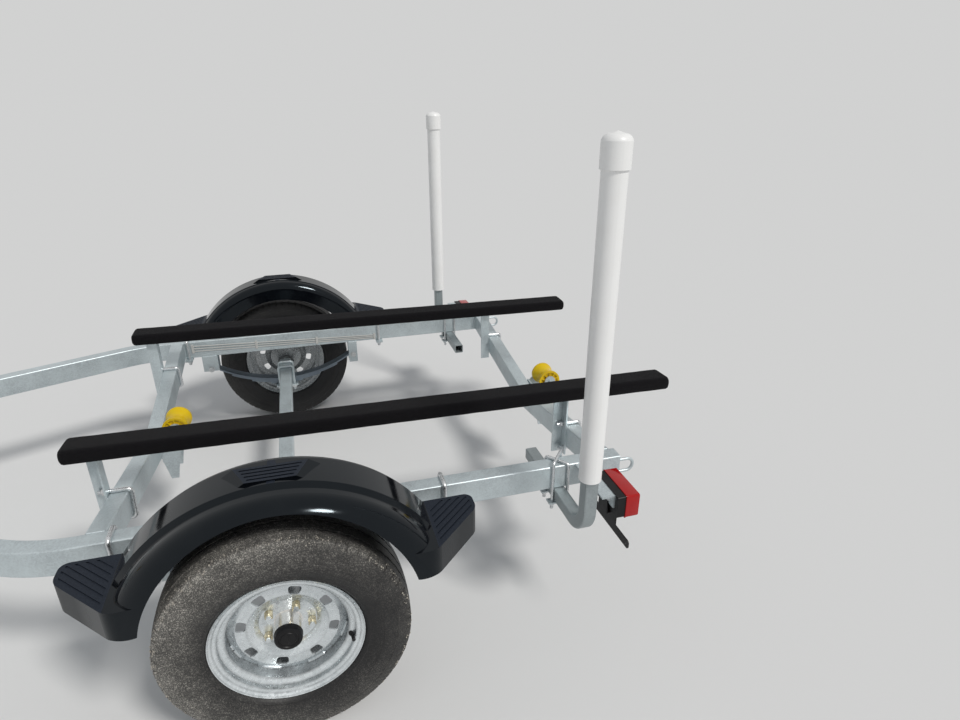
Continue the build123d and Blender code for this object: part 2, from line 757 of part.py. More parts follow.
# Keel rollers and their brackets on the rear faces of the crossmembers
centre_top_z = rail_top_z - crossmember_dip
centre_bottom_z = rail_bottom_z - crossmember_dip
ear_y = roller_length / 2 + fit_gap + ear_wall / 2
for end, place_x in (("front", front_crossmember_x), ("rear", rear_crossmember_x)):
    face_x = axle_x + place_x - rail_width / 2
    shaft_x = face_x - roller_setback
    with BuildPart() as roller_bracket:
        plate_middle = (face_x, 0, (centre_top_z + centre_bottom_z) / 2)
        with BuildSketch(Plane(origin=plate_middle, x_dir=(0, 1, 0), z_dir=(-1, 0, 0))):
            Rectangle(2 * ear_y + ear_wall, rail_height + roller_plate_margin)
        extrude(amount=ear_wall)
        for sign in (1, -1):
            with BuildSketch(side_plane(sign * ear_y - ear_wall / 2)):
                with BuildLine():
                    Polyline(
                        (face_x, centre_bottom_z),
                        (face_x - ear_tip_inset, roller_bracket_tip_z),
                        (face_x - ear_depth + ear_tip_inset, roller_bracket_tip_z),
                        (face_x - ear_depth, centre_bottom_z),
                        (shaft_x - ear_head_radius, roller_z),
                    )
                    ThreePointArc(
                        (shaft_x - ear_head_radius, roller_z),
                        (shaft_x, roller_z + ear_head_radius),
                        (shaft_x + ear_head_radius, roller_z),
                    )
                    head_front = (shaft_x + ear_head_radius, roller_z)
                    Polyline(head_front, (face_x, centre_top_z), (face_x, centre_bottom_z))
                make_face()
            extrude(amount=-ear_wall)
        with BuildSketch(Plane(origin=(shaft_x, 0, roller_z), z_dir=(0, 1, 0))):
            Circle(roller_shaft_radius)
        extrude(amount=ear_y + ear_wall / 2 + shaft_end, both=True)
    finish(roller_bracket, f"roller_bracket_{end}")

    with BuildPart() as keel_roller:
        with BuildSketch(Plane(origin=(shaft_x, 0, roller_z), x_dir=(0, 1, 0), z_dir=(1, 0, 0))):
            with BuildLine():
                half = roller_length / 2
                bore = roller_shaft_radius + shaft_gap
                waist_end = half - roller_rim
                Polyline((-half, bore), (-half, roller_radius), (-waist_end, roller_radius))
                ThreePointArc(
                    (-waist_end, roller_radius), (0, roller_waist_radius), (waist_end, roller_radius)
                )
                Polyline((waist_end, roller_radius), (half, roller_radius), (half, bore), (-half, bore))
            make_face()
        revolve(axis=Axis((shaft_x, 0, roller_z), (0, 1, 0)))
        for sign in (1, -1):
            with BuildSketch(Plane(origin=(shaft_x, sign * half, roller_z), z_dir=(0, sign, 0))):
                Circle(roller_radius - roller_rim)
                Circle(roller_boss_radius, mode=Mode.SUBTRACT)
                with PolarLocations(roller_radius / 2, roller_rib_count):
                    Rectangle(roller_radius, roller_rib_width, mode=Mode.SUBTRACT)
            extrude(amount=-roller_dish, mode=Mode.SUBTRACT)
    finish(keel_roller, f"keel_roller_{end}")

# Guide posts: bent square tubes under the rails, with a white sleeve and cap over the upright
guide_post_x = axle_x + guide_x
guide_tube_z = rail_bottom_z - guide_tube / 2
for side, sign in SIDES:
    with BuildPart() as guide_post:
        with BuildLine(Plane(origin=(guide_post_x, 0, 0), x_dir=(0, 1, 0), z_dir=(1, 0, 0))) as guide_path:
            FilletPolyline(
                (sign * guide_inner_y, guide_tube_z),
                (sign * guide_y, guide_tube_z),
                (sign * guide_y, guide_top_z - cap_dome - fit_gap),
                radius=guide_bend_radius,
            )
        with BuildSketch(Plane(origin=guide_path.line @ 0, x_dir=(1, 0, 0), z_dir=guide_path.line % 0)):
            tube_section(guide_tube, guide_tube, tube_wall, tube_corner)
        sweep()
    finish(guide_post, f"guide_post_{side}")

    with BuildPart() as guide_sleeve:
        with BuildSketch(Plane(origin=(guide_post_x, sign * guide_y, 0), x_dir=(0, 1, 0), z_dir=(1, 0, 0))):
            with BuildLine():
                Polyline(
                    (0, guide_top_z - cap_dome),
                    (sleeve_radius - sleeve_wall, guide_top_z - cap_dome),
                    (sleeve_radius - sleeve_wall, sleeve_bottom_z),
                    (sleeve_radius, sleeve_bottom_z),
                    (sleeve_radius, guide_top_z - cap_height),
                    (cap_radius, guide_top_z - cap_height),
                    (cap_radius, guide_top_z - cap_dome),
                )
                cap_edge = (cap_radius - cap_dome, guide_top_z - cap_crown)
                RadiusArc((cap_radius, guide_top_z - cap_dome), cap_edge, -cap_dome)
                Polyline(cap_edge, (0, guide_top_z), (0, guide_top_z - cap_dome))
            make_face()
        revolve(axis=Axis((guide_post_x, sign * guide_y, 0), (0, 0, 1)))
    finish(guide_sleeve, f"guide_sleeve_{side}")

# Tail lamps on angle brackets outside the rails' rear ends
lamp_front_x = axle_x + lamp_rear + lamp_lens_depth + lamp_base_depth
lamp_plate_z = lamp_top_z - lamp_bracket_drop
with BuildPart() as lamp_brackets:
    for side, sign in SIDES:
        with BuildSketch(side_plane(sign * rail_outer_y)):
            with BuildLine():
                Polyline(
                    (lamp_front_x, lamp_plate_z),
                    (lamp_front_x + lamp_bracket_leg, lamp_plate_z),
                    (lamp_front_x + lamp_bracket_leg, lamp_plate_z - bracket_wall),
                    (lamp_front_x + bracket_wall, lamp_plate_z - bracket_wall),
                    (lamp_front_x + bracket_wall, lamp_plate_z - lamp_bracket_leg),
                    (lamp_front_x, lamp_plate_z - lamp_bracket_leg),
                    close=True,
                )
            make_face()
        extrude(amount=-sign * lamp_bracket_reach)
finish(lamp_brackets, "lamp_brackets")

lamp_middle_z = lamp_top_z - lamp_height / 2
for side, sign in SIDES:
    lamp_y = sign * (lamp_inner_y + lamp_length / 2)
    with BuildPart() as tail_lamp_base:
        base_back = (lamp_front_x, lamp_y, lamp_middle_z)
        with BuildSketch(Plane(origin=base_back, x_dir=(0, 1, 0), z_dir=(-1, 0, 0))):
            RectangleRounded(lamp_length - 2 * lamp_base_inset, lamp_height - 2 * lamp_base_inset, lamp_edge)
        extrude(amount=lamp_base_depth)
    finish(tail_lamp_base, f"tail_lamp_base_{side}")
    with BuildPart() as tail_lens:
        lens_back = (lamp_front_x - lamp_base_depth, lamp_y, lamp_middle_z)
        with BuildSketch(Plane(origin=lens_back, x_dir=(0, 1, 0), z_dir=(-1, 0, 0))):
            RectangleRounded(lamp_length, lamp_height, lamp_edge)
        extrude(amount=lamp_lens_depth)
        fillet(tail_lens.faces().sort_by(Axis.X)[0].edges(), lens_edge)
    finish(tail_lens, f"tail_lens_{side}")

# Bracket for the number plate: a strap from the left lamp's angle down to a bar below the lamp
plate_bar_y = lamp_inner_y + lamp_length / 2
strap_front_x = lamp_front_x + bracket_wall + plate_bar_thickness
plate_bar_x = lamp_front_x - lamp_base_depth
strap_bend_z = lamp_top_z - lamp_height - plate_strap_gap
with BuildPart() as plate_bracket:
    with BuildSketch(side_plane(plate_bar_y + plate_strap_width / 2)):
        with BuildLine():
            Polyline(
                (strap_front_x, lamp_plate_z - bracket_wall),
                (strap_front_x - plate_bar_thickness, lamp_plate_z - bracket_wall),
                (strap_front_x - plate_bar_thickness, strap_bend_z),
                (plate_bar_x - plate_bar_thickness, strap_bend_z),
                (plate_bar_x - plate_bar_thickness, plate_bar_z),
                (plate_bar_x, plate_bar_z),
                (plate_bar_x, strap_bend_z - plate_bar_thickness),
                (strap_front_x, strap_bend_z - plate_bar_thickness),
                close=True,
            )
        make_face()
    extrude(amount=plate_strap_width)
    with BuildSketch(cross_plane(plate_bar_x)):
        with Locations((plate_bar_y, plate_bar_z)):
            RectangleRounded(plate_hole_spacing + plate_bar_height, plate_bar_height, plate_bar_corner)
            with GridLocations(plate_hole_spacing, 0, 2, 1):
                Circle(plate_hole_radius, mode=Mode.SUBTRACT)
    extrude(amount=-plate_bar_thickness)
finish(plate_bracket, "plate_bracket")

# Tie-down eyes: a bent bar on the end cap of each rail
with BuildPart() as tie_down_eyes:
    for side, sign in SIDES:
        rail_end = (axle_x + rail_rear, sign * rail_centre_y, rail_centre_z)
        with BuildSketch(Plane(origin=rail_end, x_dir=(0, 1, 0), z_dir=(-1, 0, 0))):
            RectangleRounded(rail_width, rail_height, tube_corner)
        extrude(amount=eye_cap_thickness)
        eye_plane = Plane(
            origin=(axle_x + rail_rear - eye_reach, sign * rail_centre_y, rail_centre_z - eye_drop),
            x_dir=(0, 0, 1),
            z_dir=(0, -1, 0),
        )
        add(square_u_bolt(eye_plane, eye_span, eye_reach, eye_bar_radius, eye_span / 2 - fit_gap))
finish(tie_down_eyes, "tie_down_eyes")

# Crossed clamps that hold the guide posts under the rails, with the plates below them
guide_clamp_x = guide_tube / 2 + guide_bolt_radius + fit_gap
guide_clamp_y = rail_width / 2 + guide_bolt_radius + fit_gap
with BuildPart() as guide_clamp_plates:
    for side, sign in SIDES:
        for step in (1, -1):
            raised = (guide_bolt_radius + fit_gap) * (2 + step)
            over_rail = Plane(
                origin=(guide_post_x, sign * rail_centre_y, rail_top_z + raised),
                x_dir=(step * guide_clamp_x, guide_clamp_y, 0),
                z_dir=(guide_clamp_y, -step * guide_clamp_x, 0),
            )
            guide_clamp_reach = raised + rail_height + guide_tube + bracket_wall + bolt_end
            clamp_span = 2 * sqrt(guide_clamp_x**2 + guide_clamp_y**2)
            clamp_bolts.append((over_rail, clamp_span, guide_clamp_reach, guide_bolt_radius))
            plate_y = sign * rail_centre_y + step * guide_clamp_y
            plate_top = (guide_post_x, plate_y, rail_bottom_z - guide_tube)
            with BuildSketch(Plane(origin=plate_top, z_dir=(0, 0, -1))):
                Rectangle(2 * guide_clamp_x + guide_plate_margin, guide_plate_margin)
                with GridLocations(2 * guide_clamp_x, 0, 2, 1):
                    Circle(guide_bolt_radius + fit_gap, mode=Mode.SUBTRACT)
            extrude(amount=bracket_wall)
finish(guide_clamp_plates, "guide_clamp_plates")

# Lamp wires: leads along the right rail's inner face, under clips, between the fender brackets
wire_front = fender_bracket_front_x - wire_end_gap
wire_rear = fender_bracket_rear_x + wire_end_gap
wire_y = face_gap + wire_radius - rail_inner_y


def wire_z(wire, place_x):
    """Height of a wire, x ahead of the axle. The wires fan out towards the front."""
    front_z = wire_front_z - wire * wire_front_pitch
    rear_z = wire_rear_z - wire * wire_rear_pitch
    return front_z + (rear_z - front_z) * (wire_front - place_x) / (wire_front - wire_rear)


with BuildPart() as lamp_wires:
    for wire in range(wire_count):
        wire_start = Vector(axle_x + wire_front, wire_y, wire_z(wire, wire_front))
        wire_end = Vector(axle_x + wire_rear, wire_y, wire_z(wire, wire_rear))
        with BuildSketch(Plane(origin=wire_start, z_dir=wire_end - wire_start)):
            Circle(wire_radius)
        extrude(amount=(wire_end - wire_start).length)
    for clip in range(wire_clip_count):
        clip_x = wire_front + (wire_rear - wire_front) * clip / (wire_clip_count - 1)
        clip_top = wire_z(0, clip_x) + wire_radius + wire_clip_margin
        clip_bottom = wire_z(wire_count - 1, clip_x) - wire_radius - wire_clip_margin
        clip_back = (axle_x + clip_x, face_gap - rail_inner_y, (clip_top + clip_bottom) / 2)
        with BuildSketch(Plane(origin=clip_back, x_dir=(1, 0, 0), z_dir=(0, 1, 0))):
            Rectangle(wire_clip_width, clip_top - clip_bottom)
        extrude(amount=2 * wire_radius + wire_clip_wall)
finish(lamp_wires, "lamp_wires")

# Winch post on the tongue
winch_post_x = axle_x + post_x
arm_rear_x = winch_post_x - post_size / 2 - bow_arm_reach
with BuildPart() as winch_post:
    with BuildSketch(Plane(origin=(winch_post_x, 0, rail_top_z))):
        RectangleRounded(saddle_length, tongue_width + 2 * saddle_ear, tube_corner)
        with GridLocations(saddle_bolt_spacing, saddle_bolt_span, 2, 2):
            Circle(u_bolt_radius + fit_gap, mode=Mode.SUBTRACT)
    extrude(amount=saddle_wall)
    with BuildSketch(Plane(origin=(winch_post_x, 0, rail_top_z + saddle_wall))):
        tube_section(post_size, post_size)
    extrude(amount=post_top_z - rail_top_z - 2 * saddle_wall)
    with BuildSketch(Plane(origin=(winch_post_x, 0, post_top_z - saddle_wall))):
        RectangleRounded(winch_length, winch_side_spacing + 2 * winch_wall, tube_corner)
    extrude(amount=saddle_wall)
    for sign in (1, -1):
        with BuildSketch(side_plane(sign * post_size / 2)):
            with Locations((arm_rear_x + (bow_arm_reach + post_size) / 2, bow_stop_z)):
                Rectangle(bow_arm_reach + post_size, bow_arm_height)
        extrude(amount=-sign * saddle_wall)
finish(winch_post, "winch_post")

for step in (1, -1):
    under_tongue = Plane(
        origin=(winch_post_x + step * saddle_bolt_spacing / 2, 0, rail_bottom_z - u_bolt_radius - fit_gap),
        x_dir=(0, 1, 0),
        z_dir=(-1, 0, 0),
    )
    saddle_reach = rail_height + u_bolt_radius + fit_gap + saddle_wall + bolt_end
    clamp_bolts.append((under_tongue, saddle_bolt_span, saddle_reach, u_bolt_radius))

with BuildPart() as clamping_bolts:
    for plane, span, reach, bar_radius in clamp_bolts:
        add(square_u_bolt(plane, span, reach, bar_radius, bar_radius + tube_corner))
finish(clamping_bolts, "clamping_bolts")

# Bow stop: a V-notched rubber block between the post's arms
with BuildPart() as bow_stop:
    with BuildSketch(Plane(origin=(arm_rear_x, 0, bow_stop_z - bow_stop_height / 2))):
        with BuildLine():
            Polyline(
                (0, bow_stop_width / 2),
                (-bow_stop_depth, bow_stop_width / 2),
                (-bow_stop_notch, 0),
                (-bow_stop_depth, -bow_stop_width / 2),
                (0, -bow_stop_width / 2),
                (0, -post_size / 2 + fit_gap),
                (bow_arm_reach - fit_gap, -post_size / 2 + fit_gap),
                (bow_arm_reach - fit_gap, post_size / 2 - fit_gap),
                (0, post_size / 2 - fit_gap),
                close=True,
            )
        make_face()
    extrude(amount=bow_stop_height)
finish(bow_stop, "bow_stop")

# Winch: two side plates on a base, a geared drum and a cranked pinion shaft
drum_z = post_top_z + winch_wall + drum_gear_radius + swing_gap
crank_x = winch_post_x + winch_length / 2 - crank_arm_width
drum_x = crank_x - drum_gear_radius - pinion_radius - gear_mesh_gap
with BuildPart() as winch_frame:
    with BuildSketch(Plane(origin=(winch_post_x, 0, post_top_z))):
        Rectangle(winch_length, winch_side_spacing + 2 * winch_wall)
    extrude(amount=winch_wall)
    for sign in (1, -1):
        with BuildSketch(side_plane(sign * (winch_side_spacing + winch_wall) / 2)):
            with Locations((winch_post_x, post_top_z + winch_height / 2)):
                RectangleRounded(winch_length, winch_height, winch_corner)
        extrude(amount=winch_wall / 2, both=True)
    for hole_x, hole_radius in ((drum_x, drum_shaft_radius), (crank_x, crank_shaft_radius)):
        with BuildSketch(Plane(origin=(hole_x, 0, drum_z), z_dir=(0, 1, 0))):
            Circle(hole_radius + shaft_gap)
        extrude(amount=winch_side_spacing, both=True, mode=Mode.SUBTRACT)
finish(winch_frame, "winch_frame")

gear_inner_y = winch_side_spacing / 2 - swing_gap / 2
with BuildPart() as winch_drum:
    with BuildSketch(Plane(origin=(drum_x, 0, drum_z), z_dir=(0, 1, 0))):
        Circle(drum_shaft_radius)
    extrude(amount=winch_side_spacing / 2 + winch_wall + shaft_stub, both=True)
    with BuildSketch(Plane(origin=(drum_x, 0, drum_z), z_dir=(0, 1, 0))):
        Circle(drum_radius)
    extrude(amount=gear_inner_y, both=True)
    with BuildSketch(Plane(origin=(drum_x, -gear_inner_y, drum_z), z_dir=(0, 1, 0))):
        Circle(drum_gear_radius)
    extrude(amount=drum_gear_width)
    with BuildSketch(Plane(origin=(drum_x, gear_inner_y, drum_z), z_dir=(0, -1, 0))):
        Circle(drum_flange_radius)
    extrude(amount=drum_flange_wall)
finish(winch_drum, "winch_drum")

crank_y = winch_side_spacing / 2 + winch_wall + bolt_end
crank_shaft_y = winch_side_spacing / 2 + winch_wall + shaft_stub
with BuildPart() as winch_crank:
    with BuildSketch(Plane(origin=(crank_x, crank_shaft_y, drum_z), z_dir=(0, -1, 0))):
        Circle(crank_shaft_radius)
    extrude(amount=crank_shaft_y + crank_y)
    with BuildSketch(Plane(origin=(crank_x, -gear_inner_y, drum_z), z_dir=(0, 1, 0))):
        Circle(pinion_radius)
    extrude(amount=drum_gear_width + swing_gap / 2)
    with BuildSketch(Plane(origin=(crank_x, -crank_y, drum_z), x_dir=(0, 0, 1), z_dir=(0, -1, 0))):
        with Locations((crank_arm / 2, 0)):
            SlotCenterToCenter(crank_arm, crank_arm_width)
    extrude(amount=saddle_wall)
    with BuildSketch(Plane(origin=(crank_x, -crank_y - saddle_wall, drum_z + crank_arm), z_dir=(0, -1, 0))):
        Circle(crank_grip_radius)
    extrude(amount=crank_grip_length)
finish(winch_crank, "winch_crank")

# Coupler: a pressed channel over the tongue's end, with a domed ball pocket in front
coupler_front_x = axle_x + coupler_reach
ball_x = coupler_front_x - coupler_nose_radius
sleeve_rear_x = axle_x + tongue_front - coupler_sleeve_length
sleeve_half = tongue_width / 2 + fit_gap + coupler_wall
with BuildPart() as coupler:
    for inset, mode in ((0, Mode.ADD), (coupler_wall, Mode.SUBTRACT)):
        with BuildSketch(Plane.XY.offset(rail_top_z + fit_gap + coupler_wall - inset)):
            with Locations((ball_x, 0)):
                Circle(coupler_nose_radius - inset)
            with Locations(((sleeve_rear_x + axle_x + tongue_front) / 2 - inset / 2, 0)):
                Rectangle(coupler_sleeve_length + inset, 2 * sleeve_half - 2 * inset)
            make_hull()
        extrude(amount=-(coupler_height + fit_gap + coupler_wall - inset), mode=mode)
    with BuildSketch(Plane(origin=(ball_x, 0, rail_top_z + fit_gap + coupler_wall))):
        Circle(coupler_nose_radius)
    extrude(amount=-(coupler_height + fit_gap + coupler_wall))
    with BuildSketch(Plane(origin=(ball_x, 0, ball_z), x_dir=(1, 0, 0), z_dir=(0, -1, 0))):
        with BuildLine():
            pocket = ball_radius + fit_gap
            Line((0, pocket), (0, -pocket * 2))
            Line((0, -pocket * 2), (pocket, -pocket * 2))
            Line((pocket, -pocket * 2), (pocket, 0))
            RadiusArc((pocket, 0), (0, pocket), -pocket)
        make_face()
    revolve(axis=Axis((ball_x, 0, ball_z), (0, 0, 1)), mode=Mode.SUBTRACT)
finish(coupler, "coupler")

with BuildPart() as coupler_latch:
    latch_z = rail_top_z + fit_gap + coupler_wall
    with BuildSketch(Plane(origin=(ball_x - latch_setback, 0, 0), x_dir=(1, 0, 0), z_dir=(0, -1, 0))):
        with BuildLine():
            Polyline(
                (0, latch_z),
                (0, latch_z + latch_height),
                (-latch_length, latch_z + latch_height),
                (-latch_length, latch_z + latch_height - bracket_wall),
                (-bracket_wall, latch_z + latch_height - bracket_wall),
                (-bracket_wall, latch_z),
                close=True,
            )
        make_face()
    extrude(amount=latch_width / 2, both=True)
finish(coupler_latch, "coupler_latch")

# Tongue jack: a swivel mount on the tongue's side, a tube with a sliding leg and a caster wheel
jack_place_x = axle_x + jack_x
jack_y = tongue_width / 2 + saddle_wall + jack_side_gap + jack_tube_radius
with BuildPart() as jack_mount:
    with BuildSketch(Plane(origin=(jack_place_x, tongue_width / 2, jack_pivot_z), z_dir=(0, 1, 0))):
        RectangleRounded(jack_mount_size, jack_mount_size, tube_corner)
    extrude(amount=saddle_wall)
    with BuildSketch(Plane(origin=(jack_place_x, -tongue_width / 2, jack_pivot_z), z_dir=(0, -1, 0))):
        RectangleRounded(jack_mount_size, jack_mount_size, tube_corner)
    extrude(amount=saddle_wall)
    for step_x in (1, -1):
        for step_z in (1, -1):
            bolt_place = (
                jack_place_x + step_x * (jack_mount_size / 2 - 2 * u_bolt_radius),
                -tongue_width / 2 - saddle_wall,
                jack_pivot_z + step_z * (jack_mount_size / 2 - 2 * u_bolt_radius),
            )
            with BuildSketch(Plane(origin=bolt_place, z_dir=(0, 1, 0))):
                Circle(u_bolt_radius)
            extrude(amount=tongue_width + 2 * saddle_wall)
    pivot_start = (jack_place_x, tongue_width / 2 + saddle_wall, jack_pivot_z)
    with BuildSketch(Plane(origin=pivot_start, z_dir=(0, 1, 0))):
        Circle(jack_pivot_radius - jack_tube_wall - shaft_gap)
    extrude(amount=jack_side_gap - fit_gap)
finish(jack_mount, "jack_mount")

with BuildPart() as jack_tube:
    with BuildSketch(Plane(origin=(jack_place_x, jack_y, jack_pivot_z - jack_tube_below))):
        Circle(jack_tube_radius)
        Circle(jack_tube_radius - jack_tube_wall, mode=Mode.SUBTRACT)
    extrude(amount=jack_tube_below + jack_tube_above)
    with BuildSketch(Plane(origin=(jack_place_x, jack_y, jack_pivot_z + jack_tube_above))):
        Circle(jack_tube_radius + jack_tube_wall)
    extrude(amount=crank_arm_width)
    collar_y = tongue_width / 2 + saddle_wall + fit_gap
    with BuildSketch(Plane(origin=(jack_place_x, collar_y, jack_pivot_z), z_dir=(0, 1, 0))):
        Circle(jack_pivot_radius)
        Circle(jack_pivot_radius - jack_tube_wall, mode=Mode.SUBTRACT)
    extrude(amount=jack_side_gap + jack_tube_wall - fit_gap)
    arm_z = jack_pivot_z + jack_tube_above + 2 * crank_arm_width
    with BuildSketch(Plane(origin=(jack_place_x, jack_y, arm_z - crank_arm_width))):
        Circle(crank_shaft_radius)
    extrude(amount=crank_arm_width)
    with BuildSketch(Plane(origin=(jack_place_x, jack_y, arm_z))):
        with Locations((jack_crank_arm / 2, 0)):
            SlotCenterToCenter(jack_crank_arm, crank_arm_width)
    extrude(amount=saddle_wall)
    with BuildSketch(Plane(origin=(jack_place_x + jack_crank_arm, jack_y, arm_z + saddle_wall))):
        Circle(crank_grip_radius)
    extrude(amount=crank_grip_length)
    with BuildSketch(Plane(origin=(jack_place_x, jack_y, jack_pivot_z - jack_tube_below))):
        Circle(jack_tube_radius - jack_tube_wall)
    extrude(amount=jack_tube_below + jack_tube_above - fit_gap, mode=Mode.SUBTRACT)
finish(jack_tube, "jack_tube")

leg_radius = jack_tube_radius - jack_tube_wall - fit_gap
with BuildPart() as jack_leg:
    with BuildSketch(Plane(origin=(jack_place_x, jack_y, jack_leg_bottom_z))):
        Circle(leg_radius)
    extrude(amount=jack_leg_length)
finish(jack_leg, "jack_leg")

with BuildPart() as jack_fork:
    fork_half = jack_wheel_width / 2 + fit_gap
    with BuildSketch(Plane(origin=(jack_place_x, jack_y, jack_leg_bottom_z - fit_gap), z_dir=(0, 0, -1))):
        Circle(jack_tube_radius)
    extrude(amount=fork_wall)
    crown_z = 2 * jack_wheel_radius + swing_gap
    with BuildSketch(Plane(origin=(jack_place_x - jack_trail / 2, jack_y, crown_z))):
        Rectangle(2 * jack_tube_radius + jack_trail, 2 * fork_half + 2 * fork_wall)
    extrude(amount=jack_leg_bottom_z - fit_gap - fork_wall - crown_z)
    for sign in (1, -1):
        blade_y = jack_y + sign * fork_half
        with BuildSketch(Plane(origin=(0, blade_y, 0), x_dir=(1, 0, 0), z_dir=(0, -sign, 0))):
            with BuildLine():
                Polyline(
                    (jack_place_x - jack_trail - 2 * fork_wall, sign * jack_wheel_radius),
                    (jack_place_x - jack_trail / 2 - jack_tube_radius - jack_trail / 2, sign * crown_z),
                    (jack_place_x - jack_trail / 2 + jack_tube_radius + jack_trail / 2, sign * crown_z),
                    (jack_place_x - jack_trail + 2 * fork_wall, sign * (jack_wheel_radius - 2 * fork_wall)),
                    (jack_place_x - jack_trail - 2 * fork_wall, sign * (jack_wheel_radius - 2 * fork_wall)),
                    close=True,
                )
            make_face()
        extrude(amount=-fork_wall)
    with BuildSketch(Plane(origin=(jack_place_x - jack_trail, jack_y, jack_wheel_radius), z_dir=(0, 1, 0))):
        Circle(jack_axle_radius)
    extrude(amount=fork_half + fork_wall + shaft_stub, both=True)
finish(jack_fork, "jack_fork")

with BuildPart() as jack_wheel:
    with BuildSketch(Plane(origin=(jack_place_x - jack_trail, jack_y, jack_wheel_radius), z_dir=(0, 1, 0))):
        Circle(jack_wheel_radius)
        Circle(jack_axle_radius + shaft_gap, mode=Mode.SUBTRACT)
    extrude(amount=jack_wheel_width / 2, both=True)
finish(jack_wheel, "jack_wheel")

# Wheels: a grooved tyre on a steel disc wheel, with the hub that turns on the spindle
half_rim = rim_width / 2
seat_air_radius = rim_seat_radius - rim_wall - fit_gap
well_air_radius = rim_drop_radius - rim_wall
flange = (  # air side of a flange: distance from the rim's middle, radius
    (half_rim, rim_flange_radius),
    (half_rim - rim_curl, seat_air_radius + rim_foot),
    (half_rim - rim_foot, seat_air_radius),
)
well_outer = half_rim - rim_foot - rim_seat_width
well_inner = well_outer - rim_drop_offset
rim_stations = (  # the whole air side, from the outer lip to the inner one
    *flange,
    (well_outer, seat_air_radius),
    (well_outer - rim_drop_slope, well_air_radius),
    (rim_drop_slope - well_outer, well_air_radius),
    (-well_outer, seat_air_radius),
    *[(-place, radius) for place, radius in reversed(flange)],
)
for side, sign in SIDES:
    wheel_axis = Axis((axle_x, 0, axle_z), (0, 1, 0))
    section_plane = Plane(origin=(axle_x, sign * wheel_y, axle_z), x_dir=(0, sign, 0), z_dir=(sign, 0, 0))
    with BuildPart() as tyre:
        with BuildSketch(section_plane):
            with BuildLine():
                side_radius = (tyre_radius + rim_seat_radius) / 2
                half_tread = tyre_tread_width / 2
                shoulder = tyre_radius - tread_drop
                seat_gap = rim_wall + fit_gap
                bead = [(half_rim - seat_gap, rim_flange_radius + fit_gap)]
                bead += [(place - seat_gap, radius + seat_gap) for place, radius in flange[1:]]
                Polyline(*bead, *[(-place, radius) for place, radius in reversed(bead)])
                ThreePointArc(bead[0], (tyre_width / 2, side_radius), (half_tread, shoulder))
                ThreePointArc((half_tread, shoulder), (0, tyre_radius), (-half_tread, shoulder))
                ThreePointArc(
                    (-half_tread, shoulder), (-tyre_width / 2, side_radius), (-bead[0][0], bead[0][1])
                )
            make_face()
            with Locations((0, tyre_radius)):
                with GridLocations(tyre_tread_width / (tyre_grooves + 1), 0, tyre_grooves, 1):
                    Rectangle(groove_width, 2 * groove_depth, mode=Mode.SUBTRACT)
        revolve(axis=wheel_axis)
    finish(tyre, f"tyre_{side}")

    with BuildPart() as wheel:
        with BuildSketch(section_plane):
            with BuildLine():
                tyre_side = [(half_rim - rim_wall, rim_flange_radius)]
                for place, radius in rim_stations[1:-1]:
                    tyre_side.append((place - rim_wall if place > 0 else place + rim_wall, radius + rim_wall))
                tyre_side.append((rim_wall - half_rim, rim_flange_radius))
                Polyline(*rim_stations, *reversed(tyre_side), close=True)
            make_face()
        revolve(axis=wheel_axis)
        with BuildSketch(section_plane):
            with BuildLine():
                disc_front = (
                    (0, hub_nose_radius),
                    (0, disc_flat_radius),
                    (disc_ring, disc_ring_radius),
                    (disc_bulge, disc_bulge_radius),
                    (disc_bulge, disc_bulge_radius + disc_bulge_width),
                    (disc_edge, well_air_radius),
                )
                disc_back = [(place - disc_wall, radius) for place, radius in reversed(disc_front)]
                Polyline(*disc_front, *disc_back, close=True)
            make_face()
        revolve(axis=wheel_axis)
        hole_plane = Plane(origin=(axle_x, sign * wheel_y, axle_z), x_dir=(1, 0, 0), z_dir=(0, 1, 0))
        with BuildSketch(hole_plane):
            with PolarLocations(hand_hole_circle, hand_hole_count, -hand_hole_start):
                with BuildLine(mode=Mode.PRIVATE) as hole:
                    FilletPolyline(
                        (hand_hole_height / 2, hand_hole_length / 2),
                        (hand_hole_height / 2, -hand_hole_length / 2),
                        (-hand_hole_height / 2, hand_hole_taper - hand_hole_length / 2),
                        (-hand_hole_height / 2, hand_hole_length / 2 - hand_hole_taper),
                        radius=hand_hole_corner,
                        close=True,
                    )
                add(make_face(hole.edges(), mode=Mode.PRIVATE))
        extrude(amount=rim_width / 2, both=True, mode=Mode.SUBTRACT)
        with BuildSketch(section_plane):
            with BuildLine():
                flange_back = -disc_wall - hub_flange_thickness
                barrel_back = flange_back - hub_barrel_length
                Polyline(
                    (barrel_back, spindle_radius + shaft_gap),
                    (barrel_back, hub_barrel_radius),
                    (flange_back, hub_barrel_radius),
                    (flange_back, hub_flange_radius),
                    (-disc_wall, hub_flange_radius),
                    (-disc_wall, hub_nose_radius),
                    (hub_nose_length, hub_nose_radius),
                    (hub_nose_length, 0),
                    (fit_gap, 0),
                    (fit_gap, spindle_radius + shaft_gap),
                    close=True,
                )
            make_face()
        revolve(axis=wheel_axis)
        stud_back = (axle_x, sign * (wheel_y - disc_wall), axle_z)
        stud_plane = Plane(origin=stud_back, x_dir=(1, 0, 0), z_dir=(0, sign, 0))
        with BuildSketch(stud_plane):
            with PolarLocations(stud_circle_radius, stud_count, -sign * stud_start):
                Circle(stud_radius)
        extrude(amount=disc_wall + stud_length)
    finish(wheel, f"wheel_{side}")

